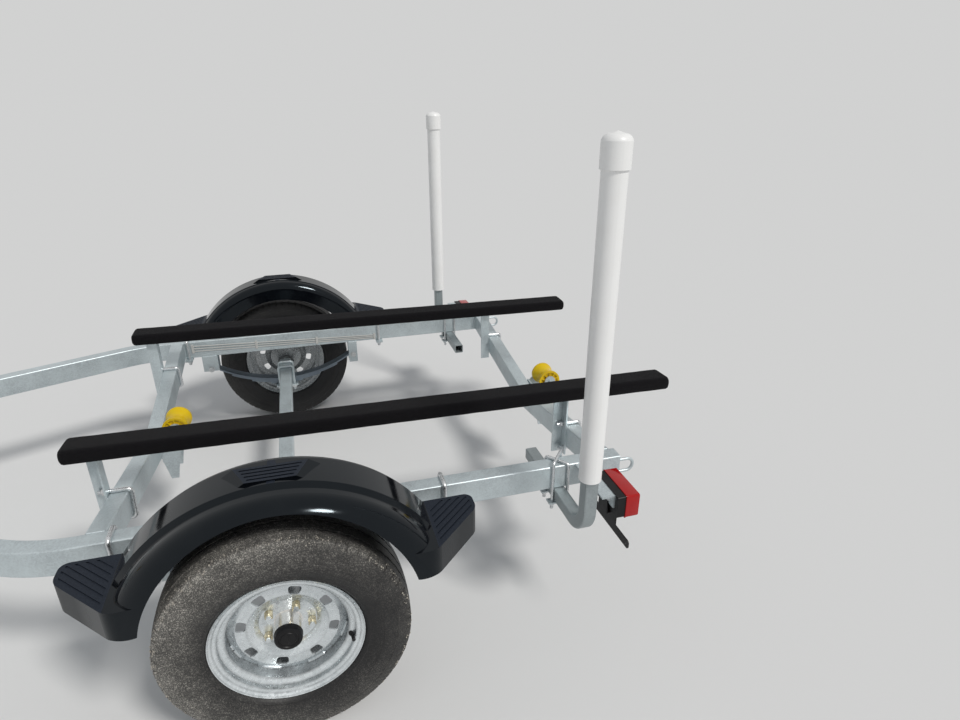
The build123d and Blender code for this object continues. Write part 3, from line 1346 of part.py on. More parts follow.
    with BuildPart() as hub_cap:
        cap_front = hub_nose_length + fit_gap + hub_cap_wall
        with BuildSketch(section_plane):
            with BuildLine():
                Polyline(
                    (cap_front, 0),
                    (cap_front, hub_cap_radius - hub_cap_edge),
                    (cap_front - hub_cap_edge, hub_cap_radius),
                    (cap_front - hub_cap_length, hub_cap_radius),
                    (cap_front - hub_cap_length, hub_nose_radius + fit_gap),
                    (hub_nose_length + fit_gap, hub_nose_radius + fit_gap),
                    (hub_nose_length + fit_gap, 0),
                    close=True,
                )
            make_face()
        revolve(axis=wheel_axis)
    finish(hub_cap, f"hub_cap_{side}")
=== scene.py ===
import json
import math
import random

import bmesh
import bpy
from mathutils import Matrix, Vector
from mathutils.noise import noise as noise_of


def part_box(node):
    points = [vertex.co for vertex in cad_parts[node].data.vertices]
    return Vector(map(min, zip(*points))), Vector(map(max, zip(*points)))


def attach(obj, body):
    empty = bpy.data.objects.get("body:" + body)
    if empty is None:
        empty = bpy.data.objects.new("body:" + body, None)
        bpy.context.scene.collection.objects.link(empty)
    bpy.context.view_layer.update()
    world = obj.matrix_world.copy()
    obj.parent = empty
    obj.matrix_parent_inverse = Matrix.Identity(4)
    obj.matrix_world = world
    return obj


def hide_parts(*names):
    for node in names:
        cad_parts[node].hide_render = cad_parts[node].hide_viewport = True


# Looks of a single-axle galvanised boat trailer. Metres, +X forward, +Y the trailer's left, +Z up.

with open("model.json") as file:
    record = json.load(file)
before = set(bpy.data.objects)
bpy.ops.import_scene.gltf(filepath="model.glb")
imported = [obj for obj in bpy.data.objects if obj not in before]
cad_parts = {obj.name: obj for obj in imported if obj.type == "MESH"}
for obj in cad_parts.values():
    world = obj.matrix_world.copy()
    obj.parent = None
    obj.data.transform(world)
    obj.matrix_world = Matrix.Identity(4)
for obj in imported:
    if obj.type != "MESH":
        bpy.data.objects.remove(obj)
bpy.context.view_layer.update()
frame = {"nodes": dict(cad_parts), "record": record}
nodes = frame["nodes"]

SIDES = (("left", 1), ("right", -1))
SIDE_OF_SIGN = {sign: side for side, sign in SIDES}

# Places taken from the frame
AXLE_LOW, AXLE_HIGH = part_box("axle")
AXLE_X = (AXLE_LOW.x + AXLE_HIGH.x) / 2
AXLE_Z = (AXLE_LOW.z + AXLE_HIGH.z) / 2
TYRE_LOW, TYRE_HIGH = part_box("tyre_left")
WHEEL_Y = (TYRE_LOW.y + TYRE_HIGH.y) / 2
RAIL_LOW, RAIL_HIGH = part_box("side_rail_left")
RAIL_BOTTOM = RAIL_LOW.z
RAIL_TOP = RAIL_HIGH.z
RAIL_WIDTH = 0.0508
RAIL_Y = RAIL_HIGH.y - RAIL_WIDTH / 2
RAIL_INNER_Y = RAIL_HIGH.y - RAIL_WIDTH
FENDER_LOW, FENDER_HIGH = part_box("fender_left")
ARCH_X = (FENDER_LOW.x + FENDER_HIGH.x) / 2
PAD_Z = FENDER_HIGH.z
STEP_Z = FENDER_LOW.z + 0.076


# Helpers for shader nodes
MIX_FACTOR, MIX_FIRST, MIX_SECOND, MIX_RESULT = 0, 6, 7, 2  # sockets of the colour mix node


def new_material(name):
    material = bpy.data.materials.new(name)
    material.use_nodes = True
    tree = material.node_tree
    return material, tree, tree.nodes["Principled BSDF"]


def node(tree, kind, **settings):
    made = tree.nodes.new(kind)
    for key, value in settings.items():
        if key in made.inputs:
            made.inputs[key].default_value = value
        else:
            setattr(made, key, value)
    return made


def dress(tree, shader, looks):
    """Gives inputs of the shader their links, colours or numbers."""
    for name, value in looks.items():
        if isinstance(value, bpy.types.NodeSocket):
            tree.links.new(value, shader.inputs[name])
        else:
            shader.inputs[name].default_value = value


def position(tree):
    """Object coordinates: every piece keeps its place in its mesh, so they are metres on the trailer."""
    return tree.nodes.new("ShaderNodeTexCoord").outputs["Object"]


def facing(tree):
    return tree.nodes.new("ShaderNodeNewGeometry").outputs["Normal"]


def axes(tree, vector):
    """A vector's x, y and z."""
    parts = tree.nodes.new("ShaderNodeSeparateXYZ")
    tree.links.new(vector, parts.inputs[0])
    return parts.outputs["X"], parts.outputs["Y"], parts.outputs["Z"]


def noise(tree, scale, detail=4.0, roughness=0.55):
    made = node(tree, "ShaderNodeTexNoise", Scale=scale, Detail=detail, Roughness=roughness)
    tree.links.new(position(tree), made.inputs["Vector"])
    return made.outputs["Fac"]


def crystals(tree, scale):
    """Cells that each have a grey of their own."""
    made = node(tree, "ShaderNodeTexVoronoi", Scale=scale)
    tree.links.new(position(tree), made.inputs["Vector"])
    grey = tree.nodes.new("ShaderNodeRGBToBW")
    tree.links.new(made.outputs["Color"], grey.inputs[0])
    return grey.outputs[0]


def span(tree, value, low, high, new_low=0.0, new_high=1.0):
    limits = {"From Min": low, "From Max": high, "To Min": new_low, "To Max": new_high}
    made = node(tree, "ShaderNodeMapRange", **limits)
    tree.links.new(value, made.inputs["Value"])
    return made.outputs["Result"]


def patches(tree, scale, detail, low, high, least=0.0, most=1.0, roughness=0.55):
    """Noise that goes from least to most between its values low and high."""
    return span(tree, noise(tree, scale, detail, roughness), low, high, least, most)


def mix(tree, factor, first, second):
    made = node(tree, "ShaderNodeMix", data_type="RGBA")
    for socket, value in ((made.inputs[MIX_FIRST], first), (made.inputs[MIX_SECOND], second)):
        if isinstance(value, tuple):
            socket.default_value = (*value, 1.0)
        else:
            tree.links.new(value, socket)
    tree.links.new(factor, made.inputs[MIX_FACTOR])
    return made.outputs[MIX_RESULT]


def math_node(tree, operation, first, second=0.0):
    made = node(tree, "ShaderNodeMath", operation=operation)
    for socket, value in ((made.inputs[0], first), (made.inputs[1], second)):
        if isinstance(value, (int, float)):
            socket.default_value = value
        else:
            tree.links.new(value, socket)
    return made.outputs[0]


def times(tree, first, second):
    return math_node(tree, "MULTIPLY", first, second)


def larger(tree, first, second):
    return math_node(tree, "MAXIMUM", first, second)


def away_from(tree, value, middle):
    return math_node(tree, "ABSOLUTE", math_node(tree, "SUBTRACT", value, middle))


def from_axle(tree):
    """Distance from the wheels' axle, the same at every turn of a wheel."""
    along, _, up = axes(tree, position(tree))
    ahead = math_node(tree, "SUBTRACT", along, AXLE_X)
    above = math_node(tree, "SUBTRACT", up, AXLE_Z)
    squares = math_node(tree, "ADD", times(tree, ahead, ahead), times(tree, above, above))
    return math_node(tree, "SQRT", squares)


def bump(tree, shader, height, strength, distance):
    made = node(tree, "ShaderNodeBump", Strength=strength, Distance=distance)
    tree.links.new(height, made.inputs["Height"])
    tree.links.new(made.outputs["Normal"], shader.inputs["Normal"])


# Galvanised steel
CRYSTAL_RANGE = (0.2, 0.8)  # of the crystals' greys, from dark to pale
CRYSTAL_SHARE = 0.5  # of the pale colour in the palest crystals
PALER = 1.16  # the pale colour against the base colour
BARE_STEEL = (0.80, 0.79, 0.77)
BARE_ROUGHNESS = 0.20
BARE_EDGE = 0.001
# colour of the painted shade laid into the wheel's corners and over its inner side
PAINTED_SHADE = (0.13, 0.135, 0.14)
INNER_PAINTED_SHADE = 0.72  # strength of the painted shade on the wheel's inner side
MOUNT_MARGIN = 0.002
LOOKS_INWARD = -0.05  # place across times facing, below this
SHADED_WHEEL_CORNERS = (  # radius of a corner that gets painted shade, how far it spreads, how dark it is
    (0.0705, 0.0035, 0.35), (0.0975, 0.0040, 0.25), (0.1445, 0.0060, 0.75), (0.1612, 0.0045, 0.55),
    (0.1722, 0.0030, 0.50), (0.1800, 0.0022, 0.45),
)


def inner_side(tree):
    """One on the faces of a wheel that look towards the trailer and on those inboard of its mounting face,
    where painted shade goes.
    """
    across = axes(tree, position(tree))[1]
    outboard = times(tree, across, axes(tree, facing(tree))[1])
    inboard = math_node(tree, "LESS_THAN", math_node(tree, "ABSOLUTE", across), WHEEL_Y - MOUNT_MARGIN)
    return larger(tree, inboard, math_node(tree, "LESS_THAN", outboard, LOOKS_INWARD))


def wheel_painted_shade(tree, radius):
    """Patchy painted shade in the corners of a wheel, and all over its inner side."""
    corner_shade = 0.0
    # painted shade along each corner of the rim and disc, made patchy by noise
    for corner, reach, strength in SHADED_WHEEL_CORNERS:
        near = span(tree, away_from(tree, radius, corner), 0.0, reach, strength, 0.0)
        corner_shade = larger(tree, near, corner_shade)
    corner_shade = times(tree, corner_shade, patches(tree, scale=24.0, detail=5.0, low=0.30, high=0.62, least=0.4))
    # painted shade all over the wheel's inner side
    return larger(tree, corner_shade, times(tree, inner_side(tree), INNER_PAINTED_SHADE))


def galvanised(name, base, dull, spangle=260.0, metallic=0.6, low=0.34, high=0.52, polished=0.0):
    """Zinc coat: pale crystals with dull smudges. A wheel is bare steel within the polished radius, with
    painted shade in its corners and on its inner side.
    """
    material, tree, shader = new_material(name)
    grain = crystals(tree, spangle)
    tint = mix(tree, patches(tree, scale=9.0, detail=5.0, low=0.35, high=0.68), base, dull)
    pale = tuple(min(1.0, tone * PALER) for tone in base)
    colour = mix(tree, span(tree, grain, *CRYSTAL_RANGE, 0.0, CRYSTAL_SHARE), tint, pale)
    rough = span(tree, grain, *CRYSTAL_RANGE, low, high)
    if polished > 0:
        radius = from_axle(tree)
        bare = span(tree, radius, polished, polished + BARE_EDGE, 1.0, 0.0)
        colour = mix(tree, bare, colour, BARE_STEEL)
        rough = mix(tree, bare, rough, (BARE_ROUGHNESS,) * 3)
        # painted shade: darker in the wheel's corners and on its inner side
        colour = mix(tree, wheel_painted_shade(tree, radius), colour, PAINTED_SHADE)
    dress(tree, shader, {"Base Color": colour, "Metallic": metallic, "Roughness": rough})
    bump(tree, shader, noise(tree, 90.0, detail=3.0), strength=0.12, distance=0.0006)
    return material


# Fender plastic
STEP_REACH = 0.004  # how far from its level the steps' tread goes
PAD_REACH = 0.0032
PAD_HALF = 0.085  # half of the pad's length
STEPS_FROM = 0.36  # from the arch's middle
LEVEL_FACE = 0.9  # z of a face's direction, above this
SATIN_RANGE = (0.340, 0.430)  # from the arch's middle, where gloss turns to satin
SATIN = 0.40
TREAD_SATIN = 0.55
TREAD_GRAIN = 0.25
ARCH_BLACK = (0.0022, 0.0028, 0.0042)
ARCH_DUST = (0.016, 0.017, 0.019)
TREAD_DARK = (0.004, 0.006, 0.012)
TREAD_PALE = (0.011, 0.015, 0.026)


def glossy_black():
    """Moulded black plastic: glossy arch, satin ends, grained treads on the steps and the pad."""
    material, tree, shader = new_material("fender_black")
    along, _, up = axes(tree, position(tree))
    from_arch = away_from(tree, along, ARCH_X)
    on_step = math_node(tree, "LESS_THAN", away_from(tree, up, STEP_Z), STEP_REACH)
    on_pad = math_node(tree, "LESS_THAN", away_from(tree, up, PAD_Z), PAD_REACH)
    in_pad = times(tree, on_pad, math_node(tree, "LESS_THAN", from_arch, PAD_HALF))
    in_step = times(tree, on_step, math_node(tree, "GREATER_THAN", from_arch, STEPS_FROM))
    level = math_node(tree, "GREATER_THAN", axes(tree, facing(tree))[2], LEVEL_FACE)
    tread = times(tree, larger(tree, in_pad, in_step), level)
    dust = patches(tree, scale=14.0, detail=6.0, low=0.50, high=0.80, most=0.16)
    grains = patches(tree, scale=260.0, detail=3.0, low=0.35, high=0.65)
    polish = patches(tree, scale=22.0, detail=5.0, low=0.3, high=0.7, least=0.06, most=0.14)
    satin = larger(tree, span(tree, from_arch, *SATIN_RANGE, 0.0, SATIN), times(tree, tread, TREAD_SATIN))
    dress(tree, shader, {
        "Base Color": mix(
            tree, tread, mix(tree, dust, ARCH_BLACK, ARCH_DUST), mix(tree, grains, TREAD_DARK, TREAD_PALE)
        ),
        "Roughness": larger(tree, polish, satin),
        "Specular IOR Level": 0.30,
        "Specular Tint": (0.80, 0.92, 1.0, 1.0),
    })
    grain = times(tree, times(tree, noise(tree, 420.0, detail=2.0), tread), TREAD_GRAIN)
    relief = math_node(tree, "ADD", noise(tree, 5.0, detail=2.0), grain)
    bump(tree, shader, relief, strength=0.12, distance=0.002)
    return material


# Carpet, plastics and the lens
PILE_DARK = (0.0018, 0.0017, 0.0022)
PILE_PALE = (0.0118, 0.0106, 0.0125)
PILE_RANGE = (0.38, 0.68)  # of the tufts' noise, from dark to pale
LINT = (0.030, 0.027, 0.030)
YELLOW_CLEAN = (0.72, 0.50, 0.004)
YELLOW_WORN = (0.64, 0.40, 0.003)
LENS_DEEP = (0.33, 0.003, 0.004)
LENS_BRIGHT = (0.44, 0.006, 0.006)


def carpet():
    """Short black marine pile: tufts and a little lint."""
    material, tree, shader = new_material("bunk_carpet")
    tuft = noise(tree, 480.0, roughness=0.75)
    lint = patches(tree, scale=190.0, detail=5.0, low=0.62, high=0.80, most=0.55, roughness=0.7)
    uneven = patches(tree, scale=7.0, detail=3.0, low=0.35, high=0.65, least=0.75, most=1.25)
    pile = mix(tree, span(tree, tuft, *PILE_RANGE), PILE_DARK, PILE_PALE)
    dress(tree, shader, {
        "Base Color": mix(tree, times(tree, lint, uneven), pile, LINT),
        "Roughness": 0.95,
        "Specular IOR Level": 0.12,
        "Sheen Weight": 0.04,
        "Sheen Roughness": 0.5,
    })
    bump(tree, shader, tuft, strength=0.9, distance=0.0022)
    return material


def plastic(name, clean, dirty, low, high, texture=180.0, gloss=0.5):
    material, tree, shader = new_material(name)
    stain = patches(tree, scale=12.0, detail=6.0, low=0.45, high=0.8, most=0.6)
    dress(tree, shader, {
        "Base Color": mix(tree, stain, clean, dirty),
        "Roughness": patches(tree, scale=30.0, detail=4.0, low=0.3, high=0.7, least=low, most=high),
        "Specular IOR Level": gloss,
    })
    bump(tree, shader, noise(tree, texture, detail=2.0), strength=0.25, distance=0.0002)
    return material


def polymer_yellow():
    material, tree, shader = new_material("roller_yellow")
    stain = patches(tree, scale=18.0, detail=5.0, low=0.4, high=0.75, most=0.7)
    dress(tree, shader, {
        "Base Color": mix(tree, stain, YELLOW_CLEAN, YELLOW_WORN),
        "Roughness": 0.28,
        "Specular IOR Level": 0.30,
        "Subsurface Weight": 0.15,
        "Subsurface Radius": (0.02, 0.012, 0.002),
    })
    bump(tree, shader, noise(tree, 60.0, detail=2.0), strength=0.15, distance=0.0006)
    return material


def lens_red():
    material, tree, shader = new_material("lens_red")
    dress(tree, shader, {
        "Base Color": mix(tree, noise(tree, 30.0), LENS_DEEP, LENS_BRIGHT),
        "Roughness": 0.10,
        "Specular IOR Level": 0.35,
    })
    return material


# Tyre rubber
RUBBER = (0.010, 0.010, 0.011)
ROAD_DUST = (0.150, 0.145, 0.135)
PALE_GRIT = (0.62, 0.59, 0.53)
# Dust from one place to another: the two places and how much of it lies there
AHEAD_DUST = (-0.10, 0.34, 0.18, 1.05)
ACROSS_DUST = (WHEEL_Y - 0.05, WHEEL_Y + 0.06, 0.10, 1.0)
OUTWARD_DUST = (0.190, 0.292, 0.28, 1.0)
DUST_POWER = 1.6  # how late the dust comes on towards the tread
EDGE_RADIUS = 0.2925  # of the scuffed edge of the shoulder
EDGE_REACH = 0.006
EDGE_DUST = 0.45
DUST_WANDER = 0.25
DUSTY_ROUGHNESS = (0.42, 0.92)


def tyre_rubber():
    """Black rubber by the rim and inboard, greyed by road dust outward and on one side, with pale grit."""
    material, tree, shader = new_material("tyre_rubber")
    radius = from_axle(tree)
    along, across, _ = axes(tree, position(tree))
    wander = times(tree, noise(tree, 6.0, detail=3.0), DUST_WANDER)
    leading = math_node(tree, "ADD", math_node(tree, "SUBTRACT", along, AXLE_X), wander)
    exposed = times(
        tree, span(tree, leading, *AHEAD_DUST),
        span(tree, math_node(tree, "ABSOLUTE", across), *ACROSS_DUST),
    )
    outward = math_node(tree, "POWER", span(tree, radius, *OUTWARD_DUST), DUST_POWER)
    edge = span(tree, away_from(tree, radius, EDGE_RADIUS), 0.0, EDGE_REACH, EDGE_DUST, 0.0)
    cloud = patches(tree, scale=16.0, detail=8.0, low=0.36, high=0.62, least=0.45, most=1.1, roughness=0.75)
    dusty = times(tree, times(tree, math_node(tree, "ADD", outward, edge), exposed), cloud)
    fine = patches(tree, scale=340.0, detail=4.0, low=0.53, high=0.60, roughness=0.8)
    coarse = patches(tree, scale=130.0, detail=5.0, low=0.58, high=0.62, roughness=0.85)
    speck = times(tree, larger(tree, fine, coarse), dusty)
    dress(tree, shader, {
        "Base Color": mix(tree, speck, mix(tree, dusty, RUBBER, ROAD_DUST), PALE_GRIT),
        "Roughness": span(tree, dusty, 0.0, 0.6, *DUSTY_ROUGHNESS),
        "Specular IOR Level": 0.30,
    })
    bump(tree, shader, noise(tree, 260.0, detail=5.0, roughness=0.7), strength=0.35, distance=0.0008)
    return material


GALVANISED = galvanised("galvanised", (0.58, 0.645, 0.665), (0.45, 0.50, 0.52))
DULL_GALVANISED = galvanised("galvanised_dull", (0.36, 0.40, 0.41), (0.27, 0.30, 0.31), low=0.40, high=0.6)
WHEEL_GALVANISED = galvanised(
    "galvanised_wheel", (0.76, 0.80, 0.82), (0.62, 0.67, 0.69), spangle=170.0, metallic=0.75, low=0.20,
    high=0.42, polished=0.0345,
)
ZINC = galvanised(
    "zinc_plate", (0.68, 0.70, 0.72), (0.60, 0.61, 0.60), spangle=600.0, metallic=0.95, low=0.26, high=0.36
)
SPRING_STEEL = galvanised(
    "spring_steel", (0.20, 0.24, 0.28), (0.13, 0.15, 0.18), spangle=400.0, low=0.40, high=0.55
)
FENDER_BLACK = glossy_black()
CARPET = carpet()
YELLOW = polymer_yellow()
WHITE_PVC = plastic("white_pvc", (0.88, 0.88, 0.87), (0.83, 0.82, 0.80), low=0.28, high=0.38, texture=8.0)
BLACK_PLASTIC = plastic(
    "black_plastic", (0.006, 0.006, 0.007), (0.016, 0.015, 0.015), low=0.34, high=0.5, gloss=0.25
)
CASTER_RUBBER = plastic(
    "caster_rubber", (0.016, 0.016, 0.016), (0.07, 0.065, 0.058), low=0.6, high=0.85, gloss=0.25
)
WIRE_GREY = plastic("wire_grey", (0.52, 0.52, 0.50), (0.44, 0.43, 0.41), low=0.4, high=0.5, texture=20.0)
ZINC_YELLOW = galvanised(
    "zinc_yellow", (0.64, 0.58, 0.42), (0.54, 0.46, 0.30), spangle=700.0, metallic=0.85, low=0.25, high=0.4
)
STONE = plastic("stone_grit", (0.40, 0.37, 0.32), (0.20, 0.18, 0.16), low=0.8, high=0.95, texture=400.0)
LENS_RED = lens_red()
TYRE_RUBBER = tyre_rubber()

MATERIAL_OF_SLOT = {
    "galvanised_steel": GALVANISED,
    "zinc_plated_steel": ZINC,
    "spring_steel": SPRING_STEEL,
    "black_fender_plastic": FENDER_BLACK,
    "black_carpet": CARPET,
    "yellow_polymer": YELLOW,
    "white_pvc": WHITE_PVC,
    "black_plastic": BLACK_PLASTIC,
    "red_lens": LENS_RED,
    "tyre_rubber": TYRE_RUBBER,
    "wire_insulation": WIRE_GREY,
}
OWN_MATERIAL = {
    "guide_post_left": DULL_GALVANISED,
    "guide_post_right": DULL_GALVANISED,
    "wheel_left": WHEEL_GALVANISED,
    "wheel_right": WHEEL_GALVANISED,
}
SLOT_OF_NODE = {row["node"]: row["material_slot"] for row in frame["record"]["subparts"]}
for name, obj in nodes.items():
    material = OWN_MATERIAL.get(name, MATERIAL_OF_SLOT[SLOT_OF_NODE[name]])
    obj.data.materials.clear()
    obj.data.materials.append(material)


# Mesh helpers
def placed(place, direction, aside=(0.0, 0.0, 1.0)):
    """Matrix at place with its z axis along direction and its x axis as near to aside as it can be."""
    ahead = Vector(direction).normalized()
    aside = Vector(aside)
    if abs(ahead.dot(aside)) > 0.95:
        aside = Vector((1.0, 0.0, 0.0))
    across = (aside - ahead * aside.dot(ahead)).normalized()
    turn = Matrix((across, ahead.cross(across), ahead)).transposed()
    return Matrix.Translation(Vector(place)) @ turn.to_4x4()


def ring(bm, matrix, height, radii):
    """Points round the matrix's z axis, one for each radius."""
    made = []
    for k, radius in enumerate(radii):
        angle = math.tau * k / len(radii)
        point = Vector((radius * math.cos(angle), radius * math.sin(angle), height))
        made.append(bm.verts.new(matrix @ point))
    return made


def bridge(bm, first, second):
    count = max(len(first), len(second))
    for k in range(count):
        n = (k + 1) % count
        corners = [
            first[k % len(first)], first[n % len(first)], second[n % len(second)], second[k % len(second)]
        ]
        corners = list(dict.fromkeys(corners))
        if len(corners) > 2:
            bm.faces.new(corners)


def skin(bm, rings, closed=False):
    """Faces from each ring to the next, and back to the first where it is closed."""
    for first, second in zip(rings, rings[1:]):
        bridge(bm, first, second)
    if closed:
        bridge(bm, rings[-1], rings[0])


def turned(bm, profile, matrix, segments=32, closed=False):
    """Revolves (height, radius) points about the matrix's z axis."""
    rings = []
    for height, radius in profile:
        rings.append(ring(bm, matrix, height, [radius] * (segments if radius > 0 else 1)))
    skin(bm, rings, closed)


def block(bm, matrix, low, high, edge=0.0):
    """A box between two corners, with bevelled edges."""
    corners = []
    for x in (low[0], high[0]):
        for y in (low[1], high[1]):
            for z in (low[2], high[2]):
                corners.append(bm.verts.new(matrix @ Vector((x, y, z))))
    faces = []
    for a, b, c, d in ((0, 1, 3, 2), (4, 6, 7, 5), (0, 4, 5, 1), (2, 3, 7, 6), (0, 2, 6, 4), (1, 5, 7, 3)):
        faces.append(bm.faces.new([corners[k] for k in (a, b, c, d)]))
    if edge > 0:
        edges = list({e for face in faces for e in face.edges})
        bmesh.ops.bevel(bm, geom=edges, offset=edge, segments=2, affect="EDGES", profile=0.5)


CORNERS = ((1, 1, 0), (-1, 1, 90), (-1, -1, 180), (1, -1, 270))  # across, up, where its arc starts


def corner_arc(half_width, half_height, edge, corner):
    """Six points round one corner of a rounded rectangle."""
    across, up, start = corner
    points = []
    for k in range(6):
        angle = math.radians(start + 18 * k)
        points.append((
            across * (half_width - edge) + edge * math.cos(angle),
            up * (half_height - edge) + edge * math.sin(angle),
        ))
    return points


def on_wheel(sign, radius, angle, outward):
    """A point on a wheel: its distance from the axle, its turn from forward towards up, and outward."""
    return Vector((
        AXLE_X + radius * math.cos(angle), sign * (WHEEL_Y + outward), AXLE_Z + radius * math.sin(angle)
    ))


def linked(name, data):
    """A new object in the scene."""
    made = bpy.data.objects.new(name, data)
    bpy.context.collection.objects.link(made)
    return made


def piece(name, build, material, body, smooth):
    """Makes one object from what build draws, rides it on a body and gives it a material slot."""
    bm = bmesh.new()
    build(bm)
    bmesh.ops.recalc_face_normals(bm, faces=bm.faces[:])
    mesh = bpy.data.meshes.new(name)
    bm.to_mesh(mesh)
    bm.free()
    mesh.polygons.foreach_set("use_smooth", [True] * len(mesh.polygons))
    mesh.set_sharp_from_angle(angle=math.radians(smooth))
    mesh.materials.append(material)
    made = linked(name, mesh)
    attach(made, body)
    return made


def both_sides(*rows):
    """Pieces on each side; braces in a body's name stand for the side, the last entry is a node replaced."""
    for side, sign in SIDES:
        for name, draw, material, body, slot, smooth, replaced in rows:
            made = piece(f"{name}_{side}", lambda bm: draw(bm, sign), material, body.format(side), smooth)
            if replaced:
                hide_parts(f"{replaced}_{side}")


HEX_RATIO = 1 / math.cos(math.radians(30))
HEX_CHAMFER = 0.07  # of the width over the flats
HEX_FACE = 0.97  # of the width over the flats
THREAD_PITCH = 0.0019
THREAD_CREST = 0.0005
THREAD_SLOPE = 0.2  # of the pitch
THREAD_CORE = 0.8  # of the bar's radius


def hex_nut(bm, matrix, flats, height, bore):
    """A nut standing on the matrix's plane, its corners chamfered at both ends."""
    chamfer = flats * HEX_CHAMFER
    hexagon = [flats / 2 * (HEX_RATIO if k % 2 == 0 else 1.0) for k in range(12)]
    circle = [flats / 2 * HEX_FACE] * 12
    hole = [bore] * 12
    rings = [
        ring(bm, matrix, 0.0, hole),
        ring(bm, matrix, 0.0, circle),
        ring(bm, matrix, chamfer, hexagon),
        ring(bm, matrix, height - chamfer, hexagon),
        ring(bm, matrix, height, circle),
        ring(bm, matrix, height, hole),
    ]
    skin(bm, rings, closed=True)


def washer(bm, matrix, outer, bore, thickness):
    profile = [(0, bore), (0, outer), (thickness, outer), (thickness, bore)]
    turned(bm, profile, matrix, segments=28, closed=True)


def threaded(bm, matrix, start, end, bar):
    """Thread crests round the end of a bar of that radius."""
    slope = THREAD_PITCH * THREAD_SLOPE
    profile = [(start, bar * THREAD_CORE), (start, bar)]
    for k in range(int((end - start) / THREAD_PITCH)):
        height = start + (k + 0.5) * THREAD_PITCH
        profile += [(height - slope, bar), (height, bar + THREAD_CREST), (height + slope, bar)]
    profile += [(end, bar), (end, bar * THREAD_CORE)]
    turned(bm, profile, matrix, segments=16, closed=True)


# Tyres: ribbed tread with notched shoulders, rings on the sidewall
TREAD_RADIUS = 0.3018
TREAD_HALF = 0.069
CROWN_DROP = 0.0046
TREAD_PITCHES = 62
PITCH_STATIONS = (0.0, 0.03, 0.17, 0.20, 0.46, 0.73)
NOTCH_SHARES = (0.02, 0.19)  # where the notch starts and ends in each pitch
NOTCH_DEPTH = 0.0026
ZIGZAG = 0.0018
TREAD_GROOVES = (0.0345, 0.0)
GROOVE_HALF = 0.0036
GROOVE_DEPTH = 0.0075
GROOVE_TAPER = 0.0006
SIDEWALL = (  # distance from the tyre's middle, radius, share of the shoulder notch
    (0.0530, 0.1665, 0.0), (0.0560, 0.1755, 0.0), (0.0641, 0.1832, 0.0), (0.0695, 0.1858, 0.0),
    (0.0738, 0.1895, 0.0), (0.0762, 0.1935, 0.0), (0.0757, 0.1968, 0.0), (0.0775, 0.2010, 0.0),
    (0.0820, 0.2120, 0.0), (0.0848, 0.2200, 0.0), (0.0864, 0.2268, 0.0), (0.0873, 0.2276, 0.0),
    (0.0882, 0.2350, 0.0), (0.0879, 0.2420, 0.0), (0.0868, 0.2428, 0.0), (0.0860, 0.2520, 0.0),
    (0.0845, 0.2608, 0.0), (0.0853, 0.2618, 0.0), (0.0844, 0.2650, 0.0), (0.0832, 0.2658, 0.0),
    (0.0814, 0.2720, 0.0), (0.0792, 0.2785, 0.0), (0.0768, 0.2848, 0.35), (0.0738, 0.2905, 1.0),
    (0.0706, 0.2950, 1.0), (0.0686, 0.2968, 1.0), (0.0610, 0.2980, 1.0), (0.0590, 0.2982, 0.0),
)


def tread_radius(across):
    return TREAD_RADIUS - CROWN_DROP * (across / TREAD_HALF) ** 2


def tyre_profile():
    """Points over the tyre from the left bead to the right: across, radius, notch, groove."""
    half = [(across, radius, notch, 0.0) for across, radius, notch in SIDEWALL]
    for middle in TREAD_GROOVES:
        outer = middle + GROOVE_HALF
        half.append((outer, tread_radius(outer), 0.0, 1.0))
        half.append((outer - GROOVE_TAPER, tread_radius(outer) - GROOVE_DEPTH, 0.0, 1.0))
        if middle > 0:
            inner = middle - GROOVE_HALF
            half.append((inner + GROOVE_TAPER, tread_radius(inner) - GROOVE_DEPTH, 0.0, 1.0))
            half.append((inner, tread_radius(inner), 0.0, 1.0))
            half.append((middle / 2, tread_radius(middle / 2), 0.0, 0.0))
    return half + [(-across, radius, notch, groove) for across, radius, notch, groove in reversed(half)]


def draw_tyre(bm, sign):
    columns = []
    for pitch in range(TREAD_PITCHES):
        for share in PITCH_STATIONS:
            angle = math.tau * (pitch + share) / TREAD_PITCHES
            notched = 1.0 if NOTCH_SHARES[0] < share < NOTCH_SHARES[1] else 0.0
            swing = ZIGZAG * (4 * abs(share - 0.5) - 1)
            column = []
            for across, radius, notch, groove in tyre_profile():
                depth = NOTCH_DEPTH * notch * notched
                place = across + swing * groove
                place -= math.copysign(depth * 0.5, across) if depth else 0.0
                column.append(bm.verts.new(on_wheel(sign, radius - depth, angle, place)))
            columns.append(column)
    for k, column in enumerate(columns):
        following = columns[(k + 1) % len(columns)]
        for i in range(len(column)):
            n = (i + 1) % len(column)
            bm.faces.new((column[i], column[n], following[n], following[i]))


# Grit picked up by the tread: small broken stones on the shoulders and in the grooves
GRIT_COUNT = 620
GRIT_SIZES = (0.0010, 0.0030)
GRIT_ON_SHOULDER = 0.72  # share of the stones
GRIT_ACROSS = (0.050, 0.078)
GRIT_RADIUS = 0.2975
SHOULDER_PLACE = 0.068
SHOULDER_SLOPE = 1.15
GROOVE_GRIT_WANDER = 0.002
GROOVE_GRIT_DEPTH = 0.7  # of the groove's depth


